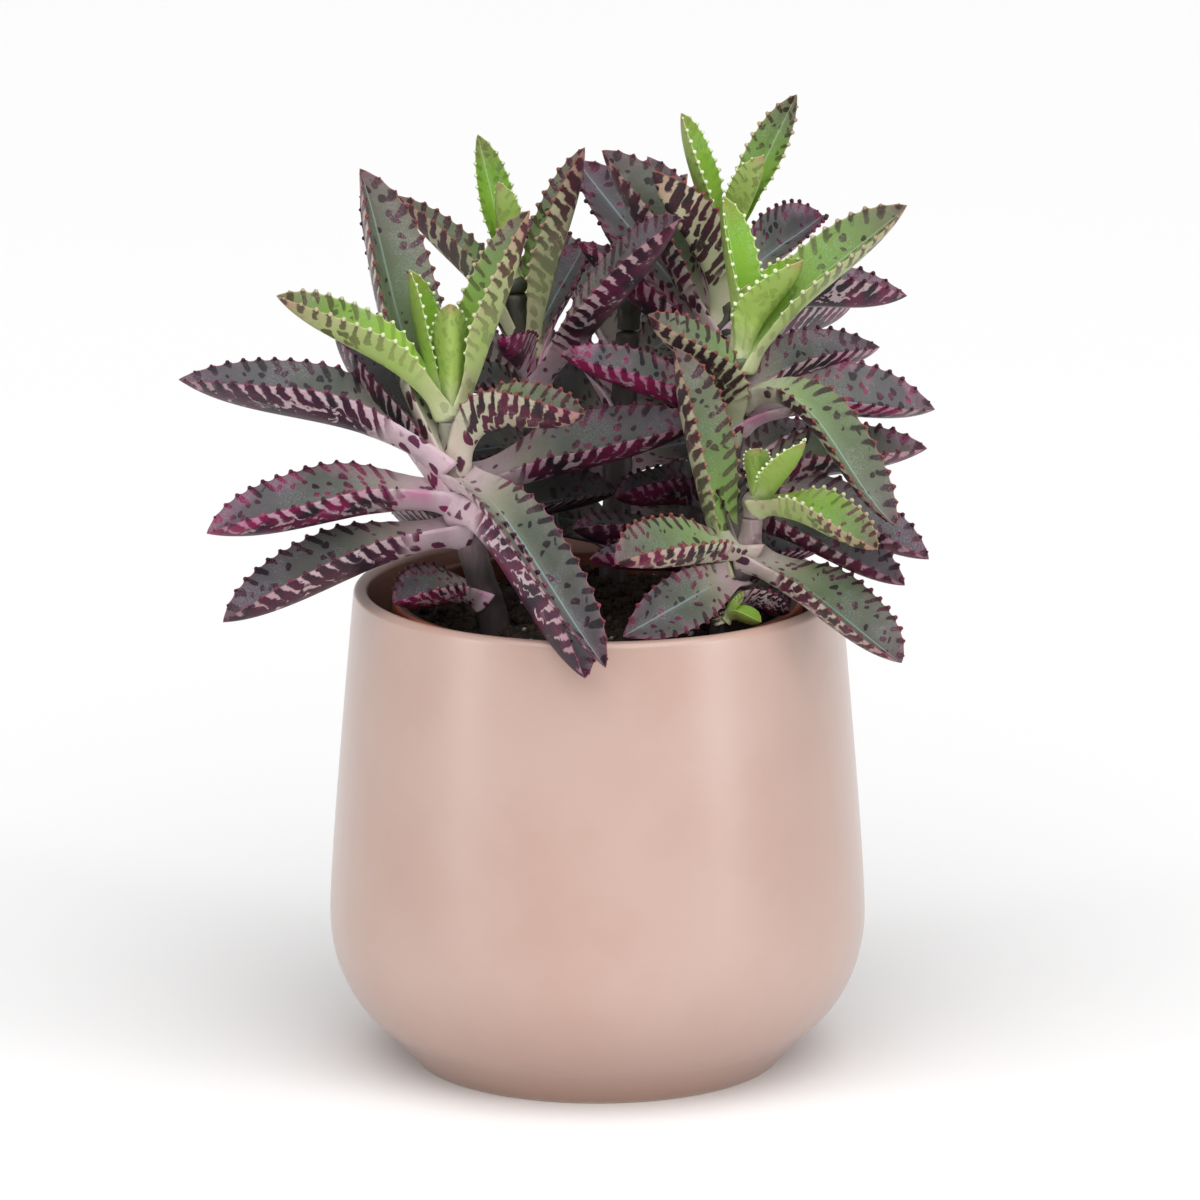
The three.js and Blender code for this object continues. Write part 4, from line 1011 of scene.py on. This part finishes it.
def stem_finish():
    """A stem's skin: pale pink-grey turning green upwards, with darker blotches and fine lines along it.
    Painted shade darkens the stems low down and in the middle of the plant."""
    made, board, shader = finish("stem_skin", Subsurface_Weight=0.1, Subsurface_Scale=0.0015, Roughness=0.5)
    place = board.place()
    height = board.split(place)[2]
    drawn = board.squeezed(place, (1.0, 1.0, 0.12))
    lines = board.noise(drawn, 900.0, 3.0, 0.6)
    blotch = board.noise(place, 130.0, 3.0, 0.55)
    body = board.mix(board.fade(height, 0.13, 0.19), "927c80", "a3ad8c")
    body = board.mix(board.times(board.fade(lines, 0.45, 0.7), 0.4), body, "b9adaa")
    body = board.mix(board.times(board.fade(blotch, 0.6, 0.66), 0.6), body, "6a4258")
    # Painted shade: near black low down, and near the plant's middle below the crowns.
    level = board.squeezed(place, (1.0, 1.0, 0.0))
    centre = {0: level, 1: (0.0, SHADE_BACK * MILLIMETRE, 0.0)}
    away = board.node("VectorMath", centre, operation="DISTANCE").outputs["Value"]
    shade = board.times(board.fade(away, 0.062, 0.035), board.fade(height, 0.205, 0.19))
    shade = board.calc("MAXIMUM", shade, board.fade(height, 0.137, 0.124))
    board.feed(shader["Base Color"], board.mix(board.times(shade, 0.88), body, "1d1415"))
    board.feed(shader["Normal"], board.bump(lines, 0.00008))
    return made


leaf_marks_group()
leaf_skin_group()
old_leaf, young_leaf = leaf_finish("old_leaf_skin", 0.04), leaf_finish("young_leaf_skin", 0.18)
stem_look = stem_finish()
for name, (radii, crown_from, points) in STEMS.items():
    lone = name == "seedling"
    leaves = [grown_leaf(row, points, teeth_share=0.0 if lone else 1.0) for row in LEAVES[name]]
    foot, top = points[0][2], points[-1][2] + 1
    leafy_top = min(crown_from - CROWN_GAP, top)
    parts = [
        (name + "_stem_leafy", foot, leafy_top, [leaf for leaf in leaves if leaf["age"] >= CROWN_AGE]),
        (name + "_stem_crown", crown_from, top, [leaf for leaf in leaves if leaf["age"] < CROWN_AGE]),
    ]
    if lone:
        parts = [(name, foot, top, leaves)]
    for node, low, high, grown in parts:
        heights = [float(leaf["foot"][2]) for leaf in grown]
        beads = [bead for leaf in grown if leaf["bite"] for bead in bead_skins(leaf)]
        blades = [leaf_skin(leaf) for leaf in grown] + beads
        look, slot = (old_leaf, "old_leaf") if node.endswith("leafy") else (young_leaf, "young_leaf")
        stalk = stem_skin(radii, points, low, high, heights)
        make_piece(node + "_fine", [[stalk], blades], [stem_look, look], node, slot)


# The photograph's stand: a plain white floor, a low soft light on each side in front, a broad one
# overhead that comes from the front, and a long lens looking slightly down. Its places and sizes
# are metres, and its turns are degrees.
FLOOR_HALF = 6.0
AIM = np.array([0.0006, 0.0, 0.1138])
CAMERA_RISE, CAMERA_AWAY, CAMERA_REACH = 13.6, 2.5, 50
LENS, SENSOR = 310.5, 36
SOFTBOX_RISE, SOFTBOX_AWAY, SOFTBOX_SIZE = 9, 1.6, (0.3, 0.8)
SUN_POWER, SUN_BREADTH, SUN_WAY = 2.8, 80, (-0.08, 0.7, -1.0)
AMBIENT, WHITE = 0.28, (1, 1, 1, 1)


def pointing(way):
    """The turn that points a lamp along a direction with its top up."""
    return Vector(way).to_track_quat("-Z", "Y").to_euler()


def soft_light(name, azimuth, power):
    """An upright rectangular lamp that faces the plant from an azimuth in degrees."""
    lamp = bpy.data.lights.new(name, "AREA")
    lamp.shape, lamp.energy = "RECTANGLE", power
    lamp.size, lamp.size_y = SOFTBOX_SIZE
    turn, lift = math.radians(azimuth), math.radians(SOFTBOX_RISE)
    back = np.array([math.sin(turn) * math.cos(lift), -math.cos(turn) * math.cos(lift), math.sin(lift)])
    made = placed(name, lamp)
    made.location = AIM + back * SOFTBOX_AWAY
    made.rotation_euler = pointing(-back)


floor_mesh = bpy.data.meshes.new("floor")
corners = [(FLOOR_HALF * x, FLOOR_HALF * y, 0) for x, y in ((-1, -1), (1, -1), (1, 1), (-1, 1))]
floor_mesh.from_pydata(corners, [], [(0, 1, 2, 3)])
floor = placed("floor", floor_mesh)
made, board, shader = finish("white_floor", Roughness=0.9, Specular_IOR_Level=0.1)
paper = board.mix(board.noise(board.place(), 3.0), "fafafa", "fcfcfc")
board.feed(shader["Base Color"], paper)
floor_mesh.materials.append(made)
floor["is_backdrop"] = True

soft_light("left_softbox", azimuth=-60, power=4.6)
soft_light("right_softbox", azimuth=55, power=5.8)
sky = bpy.data.lights.new("overhead", "SUN")
sky.energy, sky.angle = SUN_POWER, math.radians(SUN_BREADTH)
placed("overhead", sky).rotation_euler = pointing(SUN_WAY)

# The world lights the plant dimly all round, and shows the camera plain white.
world = bpy.data.worlds.new("studio")
world.use_nodes = True
board = Board(world.node_tree)
seen = board.node("LightPath").outputs["Is Camera Ray"]
background = world.node_tree.nodes["Background"].inputs
board.feed(background["Strength"], board.scaled(seen, 1 - AMBIENT, AMBIENT))
board.feed(background["Color"], WHITE)
bpy.context.scene.world = world

lens = bpy.data.cameras.new("camera")
lens.lens, lens.sensor_width, lens.clip_end = LENS, SENSOR, CAMERA_REACH
camera = placed("camera", lens)
rise = math.radians(CAMERA_RISE)
camera.location = AIM + CAMERA_AWAY * np.array([0, -math.cos(rise), math.sin(rise)])
camera.rotation_euler = (math.pi / 2 - rise, 0, 0)
bpy.context.scene.camera = camera
bpy.context.scene.view_settings.view_transform = "Standard"

low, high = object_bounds()
{"cad": [list(cad_low), list(cad_high)], "visual": [list(low), list(high)]}
